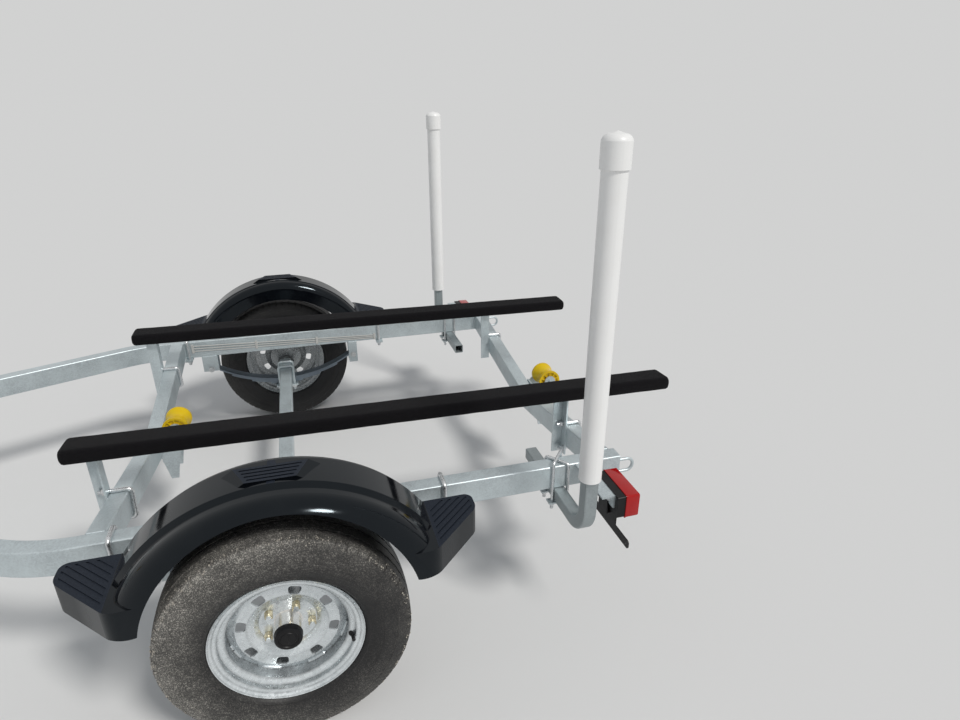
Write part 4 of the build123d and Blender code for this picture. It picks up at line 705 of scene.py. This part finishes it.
def draw_grit(bm, sign):
    for _ in range(GRIT_COUNT):
        angle = chance.uniform(0, math.tau)
        size = chance.uniform(*GRIT_SIZES)
        if chance.random() < GRIT_ON_SHOULDER:
            across = chance.uniform(*GRIT_ACROSS)
            radius = GRIT_RADIUS - max(0.0, across - SHOULDER_PLACE) * SHOULDER_SLOPE
        else:
            across = chance.choice((-TREAD_GROOVES[0], 0.0, TREAD_GROOVES[0]))
            across += chance.uniform(-GROOVE_GRIT_WANDER, GROOVE_GRIT_WANDER)
            radius = tread_radius(across) - GROOVE_DEPTH * GROOVE_GRIT_DEPTH
        radius = min(radius, TREAD_RADIUS - size)
        middle = on_wheel(sign, radius, angle, across)
        turn = placed(middle, (chance.uniform(-1, 1), chance.uniform(-1, 1), chance.uniform(0.1, 1)))
        shape = Matrix.Diagonal((size, size * chance.uniform(0.5, 1), size * chance.uniform(0.4, 0.9), 1))
        bmesh.ops.create_icosphere(bm, subdivisions=1, radius=1.0, matrix=turn @ shape)


chance = random.Random(7)
both_sides(
    ("tyre_moulding", draw_tyre, TYRE_RUBBER, "{}_wheel", "tyre_rubber", 28.0, "tyre"),
    ("tread_grit", draw_grit, STONE, "{}_wheel", "tyre_rubber", 10.0, None),
)

# Wheel fittings: lug nuts, valve stem, the rubber cap's plug and the weld between disc and rim
STUD_CIRCLE = 0.05715
STUD_COUNT = 5
STUD_START = math.radians(43)
LUG_FLATS = 0.0190
LUG_HEIGHT = 0.0150
STUD_RADIUS = 0.00635
STUD_END = 0.0200  # from the nut's seat
LUG_SEAT = 0.0004
LUG_CONE = 0.003  # height of the nut's conical foot
LUG_CONE_FOOT = 0.40  # radius, of the width over the flats
VALVE_RADIUS = 0.1545
VALVE_ANGLE = math.radians(196)
VALVE_SEAT = 0.0425  # from the tyre's middle
VALVE_PROFILE = (  # height over the seat, radius
    (-0.004, 0.0), (-0.004, 0.0080), (0.0015, 0.0080), (0.0030, 0.0055), (0.0120, 0.0045), (0.0150, 0.0040),
    (0.0150, 0.0046), (0.0245, 0.0046), (0.0258, 0.0036), (0.0258, 0.0),
)
CAP_LOW, CAP_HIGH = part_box("hub_cap_left")
CAP_FACE = CAP_HIGH.y - WHEEL_Y
CAP_RADIUS = (CAP_HIGH.x - CAP_LOW.x) / 2
DISC_WELD_RADIUS = 0.1432
DISC_WELD_PLACE = 0.0105  # outward from the mounting face
DISC_WELDS = 8
DISC_WELD_START = 0.28  # of the turn from one weld to the next
DISC_WELD_TURN = math.radians(20)
DISC_WELD_STEPS = 14
DISC_WELD_SIZE = 0.0034
DISC_WELD_RIPPLE = 0.16
DISC_WELD_END = 0.35  # size at its ends, of the full size
CAP_RIM = (  # from the cap's face, in from its radius
    (-0.0180, 0.0030), (-0.0180, 0.0004), (-0.0170, 0.0), (-0.0150, 0.0), (-0.0145, 0.0008),
    (-0.0050, 0.0010), (-0.0022, 0.0020), (-0.0006, 0.0045), (0.0, 0.0070), (0.0, 0.0100), (-0.0020, 0.0115),
    (-0.0020, 0.0150), (-0.0008, 0.0160),
)
CAP_MIDDLE = ((-0.0004, 0.0080), (-0.0004, 0.0))  # from the cap's face, radius
CAP_BAR = ((-0.0140, -0.0022, -0.0010), (0.0140, 0.0022, -0.0001))


def draw_lug_nuts(bm, sign):
    for k in range(STUD_COUNT):
        angle = STUD_START + math.tau * k / STUD_COUNT
        seat = placed(on_wheel(sign, STUD_CIRCLE, angle, LUG_SEAT), (0, sign, 0))
        foot = LUG_FLATS * LUG_CONE_FOOT
        cone = [(0, STUD_RADIUS), (0, foot), (LUG_CONE, LUG_FLATS / 2), (LUG_CONE, STUD_RADIUS)]
        turned(bm, cone, seat, segments=24, closed=True)
        hex_nut(bm, seat @ Matrix.Translation((0, 0, LUG_CONE)), LUG_FLATS, LUG_HEIGHT, STUD_RADIUS)
        threaded(bm, seat, LUG_CONE + LUG_HEIGHT, STUD_END, STUD_RADIUS - 0.0004)


def draw_valve(bm, sign):
    stem = placed(on_wheel(sign, VALVE_RADIUS, VALVE_ANGLE, VALVE_SEAT), (-0.12, sign, 0.02))
    turned(bm, VALVE_PROFILE, stem, segments=20)


def draw_cap(bm, sign):
    face = placed(on_wheel(sign, 0.0, 0.0, CAP_FACE), (0, sign, 0))
    profile = [(place, CAP_RADIUS - inset) for place, inset in CAP_RIM]
    turned(bm, [*profile, *CAP_MIDDLE], face, segments=56)
    block(bm, face, *CAP_BAR, edge=0.0004)


def draw_disc_weld(bm, sign):
    for k in range(DISC_WELDS):
        start = math.tau * (k + DISC_WELD_START) / DISC_WELDS
        rings = []
        for step in range(DISC_WELD_STEPS + 1):
            angle = start + DISC_WELD_TURN * step / DISC_WELD_STEPS
            share = DISC_WELD_END if step in (0, DISC_WELD_STEPS) else 1.0
            size = DISC_WELD_SIZE * (1 + DISC_WELD_RIPPLE * (step % 2)) * share
            along = (-math.sin(angle), 0, math.cos(angle))
            here = placed(on_wheel(sign, DISC_WELD_RADIUS, angle, DISC_WELD_PLACE), along)
            rings.append(ring(bm, here, 0.0, [size] * 8))
        skin(bm, rings)
        bm.faces.new(rings[0])
        bm.faces.new(rings[-1])


both_sides(
    ("lug_nuts", draw_lug_nuts, ZINC_YELLOW, "{}_wheel", "zinc_plated_steel", 20.0, None),
    ("valve", draw_valve, BLACK_PLASTIC, "{}_wheel", "black_plastic", 35.0, None),
    ("disc_weld", draw_disc_weld, WHEEL_GALVANISED, "{}_wheel", "galvanised_steel", 35.0, None),
    ("hub_plug", draw_cap, BLACK_PLASTIC, "{}_wheel", "black_plastic", 35.0, "hub_cap"),
)

# Bunks: boards wrapped in carpet, the ends tucked in, the edges stapled together underneath
BUNK_LENGTH = 1.838
BUNK_WIDTH = 0.095
BUNK_THICKNESS = 0.044
BUNK_EDGE = 0.0135
BUNK_END_EDGE = 0.0115
BUNK_DROP = 0.024  # from the front end to the rear end
BUNK_CANT = math.radians(2.0)
BUNK_STATION = 0.012
SEAM_HALF = 0.004
SEAM_DEPTH = 0.0016
SEAM_ROOM = 0.45  # of the half width, where the flat underside begins
LUMP_SCALES = (30, 22)  # across and along the board
LUMP_HEIGHT = 0.0007
TUCK_SHARE = 0.55  # of the end's size
TUCK_DEPTH = 0.0012
STAPLE_PITCH = 0.075
STAPLE_ROW = 0.012
STAPLE_HALF = (0.0006, 0.006)  # across and along the board
STAPLE_RISE = 0.0004


def bunk_frame(sign):
    """Middle of a bunk with its across, up and along directions."""
    low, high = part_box(f"bunk_{SIDE_OF_SIGN[sign]}")
    slope = math.asin(BUNK_DROP / BUNK_LENGTH)
    along = Vector((math.cos(slope), 0, math.sin(slope)))
    across = Vector((0, math.cos(BUNK_CANT), sign * math.sin(BUNK_CANT)))
    across = (across - along * across.dot(along)).normalized()
    up = along.cross(across)
    turn = Matrix((across, up, along)).transposed()
    return Matrix.Translation((low + high) / 2) @ turn.to_4x4()


def bunk_outline(inset):
    """Section of the wrapped board, with the seam in the middle of its underside."""
    half_width = BUNK_WIDTH / 2 - inset
    half_height = BUNK_THICKNESS / 2 - inset
    first, second, third, fourth = [corner_arc(half_width, half_height, BUNK_EDGE, c) for c in CORNERS]
    top = [(half_width * share, half_height) for share in (0.5, 0.25, 0.0, -0.25, -0.5)]
    points = first + top + second + third
    depth = 0.0 if inset else SEAM_DEPTH
    room = half_width * SEAM_ROOM
    points += [(-room, -half_height), (-SEAM_HALF, -half_height), (-SEAM_HALF / 2, -half_height + depth)]
    points += [(SEAM_HALF / 2, -half_height + depth), (SEAM_HALF, -half_height), (room, -half_height)]
    return points + fourth


def draw_bunk(bm, sign):
    matrix = bunk_frame(sign)
    half = BUNK_LENGTH / 2
    count = round(BUNK_LENGTH / BUNK_STATION)
    stations = []
    for turn in (90, 60, 30):
        back = BUNK_END_EDGE * (1 - math.sin(math.radians(turn)))
        stations.append((-half + back, BUNK_END_EDGE * (1 - math.cos(math.radians(turn)))))
    for k in range(count + 1):
        stations.append((-half + BUNK_END_EDGE + (BUNK_LENGTH - 2 * BUNK_END_EDGE) * k / count, 0.0))
    stations += [(-place, inset) for place, inset in reversed(stations[:3])]
    rings = []
    for place, inset in stations:
        loop = []
        for across, up in bunk_outline(inset):
            out = Vector((across / BUNK_WIDTH, up / BUNK_THICKNESS, 0)).normalized()
            wave = Vector((across * LUMP_SCALES[0], up * LUMP_SCALES[0], place * LUMP_SCALES[1]))
            lump = noise_of(wave) * LUMP_HEIGHT
            loop.append(bm.verts.new(matrix @ (Vector((across, up, place)) + out * lump)))
        rings.append(loop)
    skin(bm, rings)
    for loop, way in ((rings[0], 1), (rings[-1], -1)):
        middle = sum((v.co for v in loop), Vector()) / len(loop)
        tuck = (matrix.to_3x3() @ Vector((0, 0, way))) * TUCK_DEPTH
        inner = [bm.verts.new(middle + (v.co - middle) * TUCK_SHARE + tuck) for v in loop]
        bridge(bm, loop, inner)
        bm.faces.new(inner)


def draw_staples(bm, sign):
    matrix = bunk_frame(sign)
    under = -BUNK_THICKNESS / 2
    wire, reach = STAPLE_HALF
    for k in range(int(BUNK_LENGTH / STAPLE_PITCH)):
        place = -BUNK_LENGTH / 2 + STAPLE_PITCH * (k + 0.5)
        for row in (-STAPLE_ROW, STAPLE_ROW):
            low = (row - wire, under - wire, place - reach)
            high = (row + wire, under + STAPLE_RISE, place + reach)
            block(bm, matrix, low, high, edge=0.0003)


both_sides(
    ("bunk_carpet", draw_bunk, CARPET, "frame", "black_carpet", 60.0, "bunk"),
    ("bunk_staples", draw_staples, ZINC, "frame", "zinc_plated_steel", 35.0, None),
)

# Tail lamp lenses: a lip at the joint, rounded edges, vertical prisms and two screws on the rear face
LENS_LIP = 0.0006
LENS_LIP_WIDTH = 0.0024
LENS_CORNER = 0.006
LENS_EDGE = 0.003
PRISM_PITCH = 0.0056
PRISM_RADIUS = 0.0019
PRISM_MARGIN = 0.008
PRISM_SINK = 0.0014
PRISM_SPLIT = 0.002  # half of the gap in the prisms' middle
LENS_STEP = 0.0004
LENS_DRAFT = 0.0006
SCREW_PLACE = 0.052
SCREW_RADIUS = 0.0038
SCREW_TURN = 20  # of the cross, in degrees


def slab(bm, matrix, sections):
    """A rounded block through sections of level, width, height and edge radius."""
    rings = []
    for level, width, height, edge in sections:
        outline = [point for corner in CORNERS for point in corner_arc(width / 2, height / 2, edge, corner)]
        rings.append([bm.verts.new(matrix @ Vector((across, up, level))) for across, up in outline])
    skin(bm, rings)
    bm.faces.new(rings[0])
    bm.faces.new(rings[-1])


def lens_seat(sign):
    """Matrix at the lens's joint with its base, z to the rear, with the lens's length, height and depth."""
    low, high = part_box(f"tail_lens_{SIDE_OF_SIGN[sign]}")
    middle = (low + high) / 2
    matrix = placed((high.x, middle.y, middle.z), (-1, 0, 0), (0, 1, 0))
    size = high - low
    return matrix, size.y, size.z, size.x


def draw_lens(bm, sign):
    matrix, length, height, depth = lens_seat(sign)
    sections = (  # level, what the length and height gain, corner
        (0.0, 0.0, LENS_CORNER),
        (LENS_STEP, 2 * LENS_LIP, LENS_CORNER),
        (LENS_LIP_WIDTH, 2 * LENS_LIP, LENS_CORNER),
        (LENS_LIP_WIDTH + LENS_DRAFT, -LENS_DRAFT, LENS_CORNER),
        (depth - LENS_EDGE, -LENS_DRAFT - LENS_STEP, LENS_CORNER),
        (depth - LENS_EDGE * 0.3, -LENS_EDGE, LENS_CORNER * 0.8),
        (depth - LENS_STEP, -2 * LENS_EDGE, LENS_CORNER * 0.6),
    )
    slab(bm, matrix, [(level, length + gain, height + gain, corner) for level, gain, corner in sections])
    count = int((length - 2 * PRISM_MARGIN) / PRISM_PITCH)
    for k in range(count + 1):
        place = (k - count / 2) * PRISM_PITCH
        if abs(abs(place) - SCREW_PLACE) < PRISM_PITCH * 0.9:
            continue
        reach = height / 2 - PRISM_MARGIN
        for low, high in ((-reach, -PRISM_SPLIT), (PRISM_SPLIT, reach)):
            start = matrix @ Vector((place, low, depth - PRISM_SINK))
            end = matrix @ Vector((place, high, depth - PRISM_SINK))
            span_length = (end - start).length
            profile = [(0, 0), (0, PRISM_RADIUS), (span_length, PRISM_RADIUS), (span_length, 0)]
            turned(bm, profile, placed(start, end - start, (1, 0, 0)), segments=10)


def draw_lens_screws(bm, sign):
    matrix, _, _, depth = lens_seat(sign)
    arm = SCREW_RADIUS * 0.6
    for way in (1, -1):
        seat = matrix @ Matrix.Translation((way * SCREW_PLACE, 0, depth - LENS_DRAFT))
        profile = [(0, SCREW_RADIUS), (0.0010, SCREW_RADIUS), (0.0019, SCREW_RADIUS * 0.7), (0.0022, 0.0)]
        turned(bm, [(0, 0.0), *profile], seat, segments=20)
        for turn in (0, 90):
            cross = seat @ Matrix.Rotation(math.radians(turn + SCREW_TURN), 4, "Z")
            block(bm, cross, (-arm, -0.0004, 0.0012), (arm, 0.0004, 0.0024))


both_sides(
    ("lens_moulding", draw_lens, LENS_RED, "frame", "red_lens", 30.0, "tail_lens"),
    ("lens_screws", draw_lens_screws, ZINC, "frame", "zinc_plated_steel", 35.0, None),
)

# Crank grips and the jack's wheel
GRIP_RADIUS = 0.015
GRIP_LENGTH = 0.110
GRIP_WALL = 0.0009
GRIP_RINGS = 7
GRIP_FLANGE = 0.0012
GRIP_SWELL = 0.0009
GRIP_STATIONS = ((-0.32, 0.0), (-0.22, GRIP_SWELL), (0.22, GRIP_SWELL), (0.32, 0.0))  # of the pitch, swell
GRIP_ENDS = 0.008  # length without rings at each end
CASTER_BORE = 0.008
CASTER_SPOKES = 6


def draw_grip(bm, start, direction):
    seat = placed(start, direction)
    outer = GRIP_RADIUS + GRIP_WALL
    flange = outer + GRIP_FLANGE
    profile = [(0.0010, GRIP_RADIUS + 0.0001), (0.0012, flange), (0.0050, flange), (0.0062, outer)]
    pitch = (GRIP_LENGTH - 2 * GRIP_ENDS) / GRIP_RINGS
    for k in range(GRIP_RINGS):
        height = GRIP_ENDS + pitch * (k + 0.5)
        for share, swell in GRIP_STATIONS:
            profile.append((height + share * pitch, outer + swell))
    profile.append((GRIP_LENGTH - 0.002, outer))
    profile += [(GRIP_LENGTH + 0.0006, outer * 0.86), (GRIP_LENGTH + 0.0010, 0.0)]
    turned(bm, profile, seat, segments=32)


crank_low, crank_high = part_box("winch_crank")
jack_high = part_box("jack_tube")[1]
leg_low, leg_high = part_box("jack_leg")
winch_grip = ((crank_low.x + crank_high.x) / 2, crank_low.y + GRIP_LENGTH, crank_high.z - GRIP_RADIUS)
jack_grip = (jack_high.x - GRIP_RADIUS, (leg_low.y + leg_high.y) / 2, jack_high.z - GRIP_LENGTH)
for name, start, direction, body in (
    ("winch_grip", winch_grip, (0, -1, 0), "crank"), ("jack_grip", jack_grip, (0, 0, 1), "jack"),
):
    piece(name, lambda bm: draw_grip(bm, start, direction), BLACK_PLASTIC, body, smooth=40.0)

caster_low, caster_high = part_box("jack_wheel")
CASTER_MIDDLE = (caster_low + caster_high) / 2
CASTER_RADIUS = (caster_high.z - caster_low.z) / 2
CASTER_HALF = (caster_high.y - caster_low.y) / 2


def draw_caster_wheel(bm):
    seat = placed(CASTER_MIDDLE, (0, 1, 0))
    half, r = CASTER_HALF, CASTER_RADIUS
    side = [  # half width, radius
        (half, CASTER_BORE), (half, 0.0180), (half - 0.0015, 0.0195), (half * 0.25, 0.0205),
        (half * 0.25, r * 0.62), (half * 0.82, r * 0.66), (half * 0.84, r * 0.74), (half * 0.88, r * 0.76),
        (half * 0.92, r * 0.86),
        (half * 0.80, r * 0.945), (half * 0.45, r * 0.992), (half * 0.10, r), (0.0, r),
    ]
    profile = side + [(-height, radius) for height, radius in reversed(side[:-1])]
    turned(bm, profile, seat, segments=64, closed=True)
    for k in range(CASTER_SPOKES):
        turn = seat @ Matrix.Rotation(math.tau * k / CASTER_SPOKES, 4, "Z")
        block(bm, turn, (0.0190, -0.0025, -half * 0.72), (r * 0.645, 0.0025, half * 0.72), 0.0008)


caster = piece(
    "caster_moulding", draw_caster_wheel, CASTER_RUBBER, "caster_wheel", smooth=30.0
)
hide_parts("jack_wheel")

# Nuts, washers and threads on the clamping bolts
FORWARD, UP, DOWN = (1, 0, 0), (0, 0, 1), (0, 0, -1)
BOLT_GAP = 0.0003
U_BOLT = 0.00635
GUIDE_BOLT = 0.00475
BOLT_END = 0.022
BRACKET_WALL = 0.005
FENDER_BRACKET_PLACES = (0.400, -0.445)  # from the axle
CROSSMEMBER_PLACES = (0.441, -0.955)
GUIDE_PLACE = -0.797
WINCH_POST_PLACE = 2.760
SADDLE_BOLTS = (0.048, 0.04475)
SADDLE_WALL = 0.006
AXLE_BOLTS = (0.03205, 0.0289)
GUIDE_BOLTS = (0.02405, 0.03045)
BUNK_Y = 0.449
DIP = 0.093  # of the crossmembers' middle
RAIL_HEIGHT = RAIL_TOP - RAIL_BOTTOM
DIP_ANGLE = math.atan2(DIP, RAIL_INNER_Y)
PIN_PLACES = (0.318, -0.318)
PIN_Z = 0.3594
HANGER_HALF = 0.02755
JACK_PLACE = (2.985, 0.460)
JACK_BOLTS = 0.0463
TONGUE_HALF = 0.0381
LENS_LOW, LENS_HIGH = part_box("tail_lens_left")
LAMP_PLATE_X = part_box("tail_lamp_base_left")[1].x + BRACKET_WALL
LAMP_Y = (LENS_LOW.y + LENS_HIGH.y) / 2
LAMP_STUDS = 0.032
LAMP_STUD_Z = LENS_HIGH.z - 0.026
LAMP_STUD = 0.0035
LAMP_STUD_END = 0.010
NUT_FLATS = 3.0  # these three of the bolt's radius
NUT_HEIGHT = 1.7
WASHER_OUTER = 2.1
WASHER_THICKNESS = 0.0018
HEAD_BORE = 0.0008  # dimple in a bolt's head
NUT_TURN = 40  # turn of a nut per metre along the trailer


def bolt_faces():
    """Each nut: place on its face, direction of the bolt's end, bolt radius, length past the face."""
    rail_bolt = RAIL_WIDTH / 2 + U_BOLT + BOLT_GAP
    tie_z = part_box("axle_clamps")[0].z + BOLT_END
    guide_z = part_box("guide_clamp_plates")[0].z
    clamp_z = RAIL_TOP - DIP * (1 - BUNK_Y / RAIL_INNER_Y) - RAIL_HEIGHT / 2
    clamp_half = RAIL_HEIGHT * math.cos(DIP_ANGLE) / 2 + U_BOLT + BOLT_GAP
    faces = []

    def add(x, y, z, direction, bar=U_BOLT, reach=BOLT_END):
        faces.append(((x, y, z), direction, bar, reach))

    for _, sign in SIDES:
        for step in (1, -1):
            for place in FENDER_BRACKET_PLACES:
                add(AXLE_X + place, sign * RAIL_Y + step * rail_bolt, RAIL_BOTTOM - BRACKET_WALL, DOWN)
            for way in (1, -1):
                add(AXLE_X + way * AXLE_BOLTS[0], sign * RAIL_Y + step * AXLE_BOLTS[1], tie_z, DOWN)
                guide_x = AXLE_X + GUIDE_PLACE + way * GUIDE_BOLTS[0]
                add(guide_x, sign * RAIL_Y + step * GUIDE_BOLTS[1], guide_z, DOWN, GUIDE_BOLT)
            for place in CROSSMEMBER_PLACES:
                lean = sign * DIP_ANGLE
                y = sign * BUNK_Y - step * clamp_half * math.sin(lean)
                z = clamp_z + step * clamp_half * math.cos(lean)
                add(AXLE_X + place + RAIL_WIDTH / 2 + BRACKET_WALL, y, z, FORWARD)
            saddle_x = AXLE_X + WINCH_POST_PLACE + step * SADDLE_BOLTS[0]
            add(saddle_x, sign * SADDLE_BOLTS[1], RAIL_TOP + SADDLE_WALL, UP)
            for place in PIN_PLACES:
                add(AXLE_X + place, sign * RAIL_Y + step * HANGER_HALF, PIN_Z, (0, step, 0), reach=0.0)
        for way in (1, -1):
            y = sign * (LAMP_Y + way * LAMP_STUDS)
            add(LAMP_PLATE_X, y, LAMP_STUD_Z, FORWARD, LAMP_STUD, LAMP_STUD_END)
        for way in (1, -1):
            for rise in (1, -1):
                x = AXLE_X + JACK_PLACE[0] + way * JACK_BOLTS
                z = JACK_PLACE[1] + rise * JACK_BOLTS
                add(x, sign * (TONGUE_HALF + SADDLE_WALL), z, (0, sign, 0), reach=0.0)
    return faces


def draw_nuts(bm):
    for face, direction, bar, reach in bolt_faces():
        seat = placed(face, direction)
        height = bar * NUT_HEIGHT
        washer(bm, seat, bar * WASHER_OUTER, bar, WASHER_THICKNESS)
        lifted = seat @ Matrix.Translation((0, 0, WASHER_THICKNESS))
        spun = lifted @ Matrix.Rotation(face[0] * NUT_TURN, 4, "Z")
        hex_nut(bm, spun, bar * NUT_FLATS, height, bar if reach else HEAD_BORE)
        if reach:
            threaded(bm, seat, WASHER_THICKNESS + height, reach - 0.0004, bar)


piece("clamp_nuts", draw_nuts, ZINC, "frame", smooth=20.0)

# Weld beads where the tubes and brackets meet
WELD_RADIUS = 0.0030
WELD_STEP = 0.0024
RAIL_BEND = (0.490, 0.400, math.radians(24))  # start from the axle, radius, angle
TONGUE_CROSS = (1.330, 1.2792)
HANGER_HALVES = (0.031, 0.018)
ROLLER_PLATE = (0.0503, 0.334, 0.408)  # half width, lower and upper end of the welds
POST_HALF = 0.03175
POST_WELD = 0.027  # half of its length
CROSS_WELD = 0.021
WELD_INSET = 0.006  # from a tube's corners
WELD_SINK = (0.0004, 0.0014)  # across and down, of the welds over a crossmember's ends
TONGUE_WELD_SINK = 0.001
WELD_RIPPLE = 0.22


def draw_weld(bm, start, end):
    """A bead laid in overlapping drops."""
    start, end = Vector(start), Vector(end)
    length = (end - start).length
    count = max(3, round(length / WELD_STEP))
    here = placed(start, end - start)
    profile = [(0.0, 0.0)]
    for k in range(count):
        height = length * (k + 0.5) / count
        size = WELD_RADIUS * (1 + WELD_RIPPLE * noise_of(start * 50 + Vector((0, 0, k * 0.7))))
        profile += [(height - length * 0.30 / count, size * 0.90), (height + length * 0.15 / count, size)]
    profile.append((length, 0.0))
    turned(bm, profile, here, segments=8)


def rail_face_y(place, side_way):
    """Distance from the centre line of the bent-in rail's inner or outer face."""
    start, radius, angle = RAIL_BEND
    end_x = start + radius * math.sin(angle)
    end_y = RAIL_Y - radius * (1 - math.cos(angle))
    return end_y - (place - end_x) * math.tan(angle) + side_way * RAIL_WIDTH / 2 / math.cos(angle)


def draw_welds(bm):
    low, high = RAIL_BOTTOM + WELD_INSET, RAIL_TOP - WELD_INSET

    def upright(x, y):
        draw_weld(bm, (x, y, low), (x, y, high))

    def level(x, y, z, reach):
        draw_weld(bm, (x - reach, y, z), (x + reach, y, z))

    for _, sign in SIDES:
        for place in CROSSMEMBER_PLACES:
            for way in (1, -1):
                upright(AXLE_X + place + way * RAIL_WIDTH / 2, sign * RAIL_INNER_Y)
            for face_z in (RAIL_BOTTOM, RAIL_TOP):
                y = sign * (RAIL_INNER_Y - WELD_SINK[0])
                level(AXLE_X + place, y, face_z - WELD_SINK[1], CROSS_WELD)
            x = AXLE_X + place - RAIL_WIDTH / 2
            y = sign * ROLLER_PLATE[0]
            draw_weld(bm, (x, y, ROLLER_PLATE[1]), (x, y, ROLLER_PLATE[2]))
        for place in TONGUE_CROSS:
            upright(AXLE_X + place, sign * rail_face_y(place, -1))
        angle = RAIL_BEND[2]
        ends = []
        for side_way in (-1, 1):
            place = (rail_face_y(0.0, side_way) - TONGUE_HALF) / math.tan(angle)
            ends.append(AXLE_X + place)
            upright(ends[-1], sign * TONGUE_HALF)
        z = RAIL_TOP - TONGUE_WELD_SINK
        draw_weld(bm, (ends[0], sign * TONGUE_HALF, z), (ends[1], sign * TONGUE_HALF, z))
        for place, reach in zip(PIN_PLACES, HANGER_HALVES):
            for step in (1, -1):
                level(AXLE_X + place, sign * RAIL_Y + step * RAIL_WIDTH / 2, RAIL_BOTTOM, reach)
        post_x = AXLE_X + WINCH_POST_PLACE
        base_z = RAIL_TOP + SADDLE_WALL
        y = sign * POST_HALF
        level(post_x, y, base_z, POST_WELD)
        draw_weld(bm, (post_x + y, -POST_WELD, base_z), (post_x + y, POST_WELD, base_z))


piece("weld_beads", draw_welds, GALVANISED, "frame", smooth=50.0)

# Stage: pale floor, even light
FLOOR_SIZE = 400.0
FLOOR_COLOUR = (0.74, 0.74, 0.735)
SKY_LIGHT = 0.42  # what the world adds to a white surface
KEY_LIGHT = 0.62  # what the key light adds to a white surface that faces it
KEY_FROM = Vector((-0.46, 0.72, 1.0)).normalized()
KEY_ANGLE = math.radians(12.0)
SKY_TINT = (0.93, 0.96, 1.0)
KEY_TINT = (1.0, 0.98, 0.95)
floor_mesh = bpy.data.meshes.new("floor")
half = FLOOR_SIZE / 2
floor_mesh.from_pydata(
    [(-half, -half, 0), (half, -half, 0), (half, half, 0), (-half, half, 0)], [], [(0, 1, 2, 3)]
)
floor_material, floor_tree, floor_shader = new_material("floor_pale")
matt = {"Base Color": (*FLOOR_COLOUR, 1.0), "Roughness": 1.0, "Specular IOR Level": 0.0}
dress(floor_tree, floor_shader, matt)
floor_mesh.materials.append(floor_material)
floor = linked("floor", floor_mesh)

# World: a plain level of light, and the floor's own tone where the camera or a reflection meets it
world = bpy.data.worlds.new("world")
bpy.context.scene.world = world
world.use_nodes = True
sky = world.node_tree
lighting = sky.nodes["Background"]
dress(sky, lighting, {"Color": (*SKY_TINT, 1.0), "Strength": SKY_LIGHT})
backdrop = sky.nodes.new("ShaderNodeBackground")
lit_floor = [
    tone * (SKY_LIGHT * sky_tint + KEY_LIGHT * KEY_FROM.z * key_tint)
    for tone, sky_tint, key_tint in zip(FLOOR_COLOUR, SKY_TINT, KEY_TINT)
]
dress(sky, backdrop, {"Color": (*lit_floor, 1.0)})
rays = sky.nodes.new("ShaderNodeLightPath")
seen = larger(sky, rays.outputs["Is Camera Ray"], rays.outputs["Is Glossy Ray"])
seen = larger(sky, seen, rays.outputs["Is Transmission Ray"])
choose = sky.nodes.new("ShaderNodeMixShader")
for source, socket in zip((seen, lighting.outputs[0], backdrop.outputs[0]), choose.inputs):
    sky.links.new(source, socket)
sky.links.new(choose.outputs[0], sky.nodes["World Output"].inputs["Surface"])

key_data = bpy.data.lights.new("key", "SUN")
key_data.energy = KEY_LIGHT * math.pi
key_data.angle = KEY_ANGLE
key_data.color = KEY_TINT
key = linked("key", key_data)
key.rotation_euler = KEY_FROM.to_track_quat("Z", "Y").to_euler()

# Camera fitted to the photograph
FOCAL_PIXELS = 617.37
PHOTO_WIDTH = 960
SENSOR_WIDTH = 36.0
CAMERA_FROM_AXLE = Vector((-0.13435, 2.14317, 1.50324))
CAMERA_YAW = -0.284
CAMERA_PITCH = 0.4043
CAMERA_ROLL = 0.0015
ahead = Vector((
    math.sin(CAMERA_YAW) * math.cos(CAMERA_PITCH),
    -math.cos(CAMERA_YAW) * math.cos(CAMERA_PITCH),
    -math.sin(CAMERA_PITCH),
))
right = Vector((-math.cos(CAMERA_YAW), -math.sin(CAMERA_YAW), 0.0))
down = ahead.cross(right)
right_rolled = right * math.cos(CAMERA_ROLL) + down * math.sin(CAMERA_ROLL)
up_rolled = right * math.sin(CAMERA_ROLL) - down * math.cos(CAMERA_ROLL)
camera_data = bpy.data.cameras.new("camera")
camera_data.sensor_fit = "HORIZONTAL"
camera_data.sensor_width = SENSOR_WIDTH
camera_data.lens = FOCAL_PIXELS / PHOTO_WIDTH * SENSOR_WIDTH
camera = linked("camera", camera_data)
turn = Matrix((right_rolled, up_rolled, -ahead)).transposed()
camera.matrix_world = Matrix.Translation(Vector((AXLE_X, 0, 0)) + CAMERA_FROM_AXLE) @ turn.to_4x4()
bpy.context.scene.camera = camera
bpy.context.scene.view_settings.view_transform = "Standard"
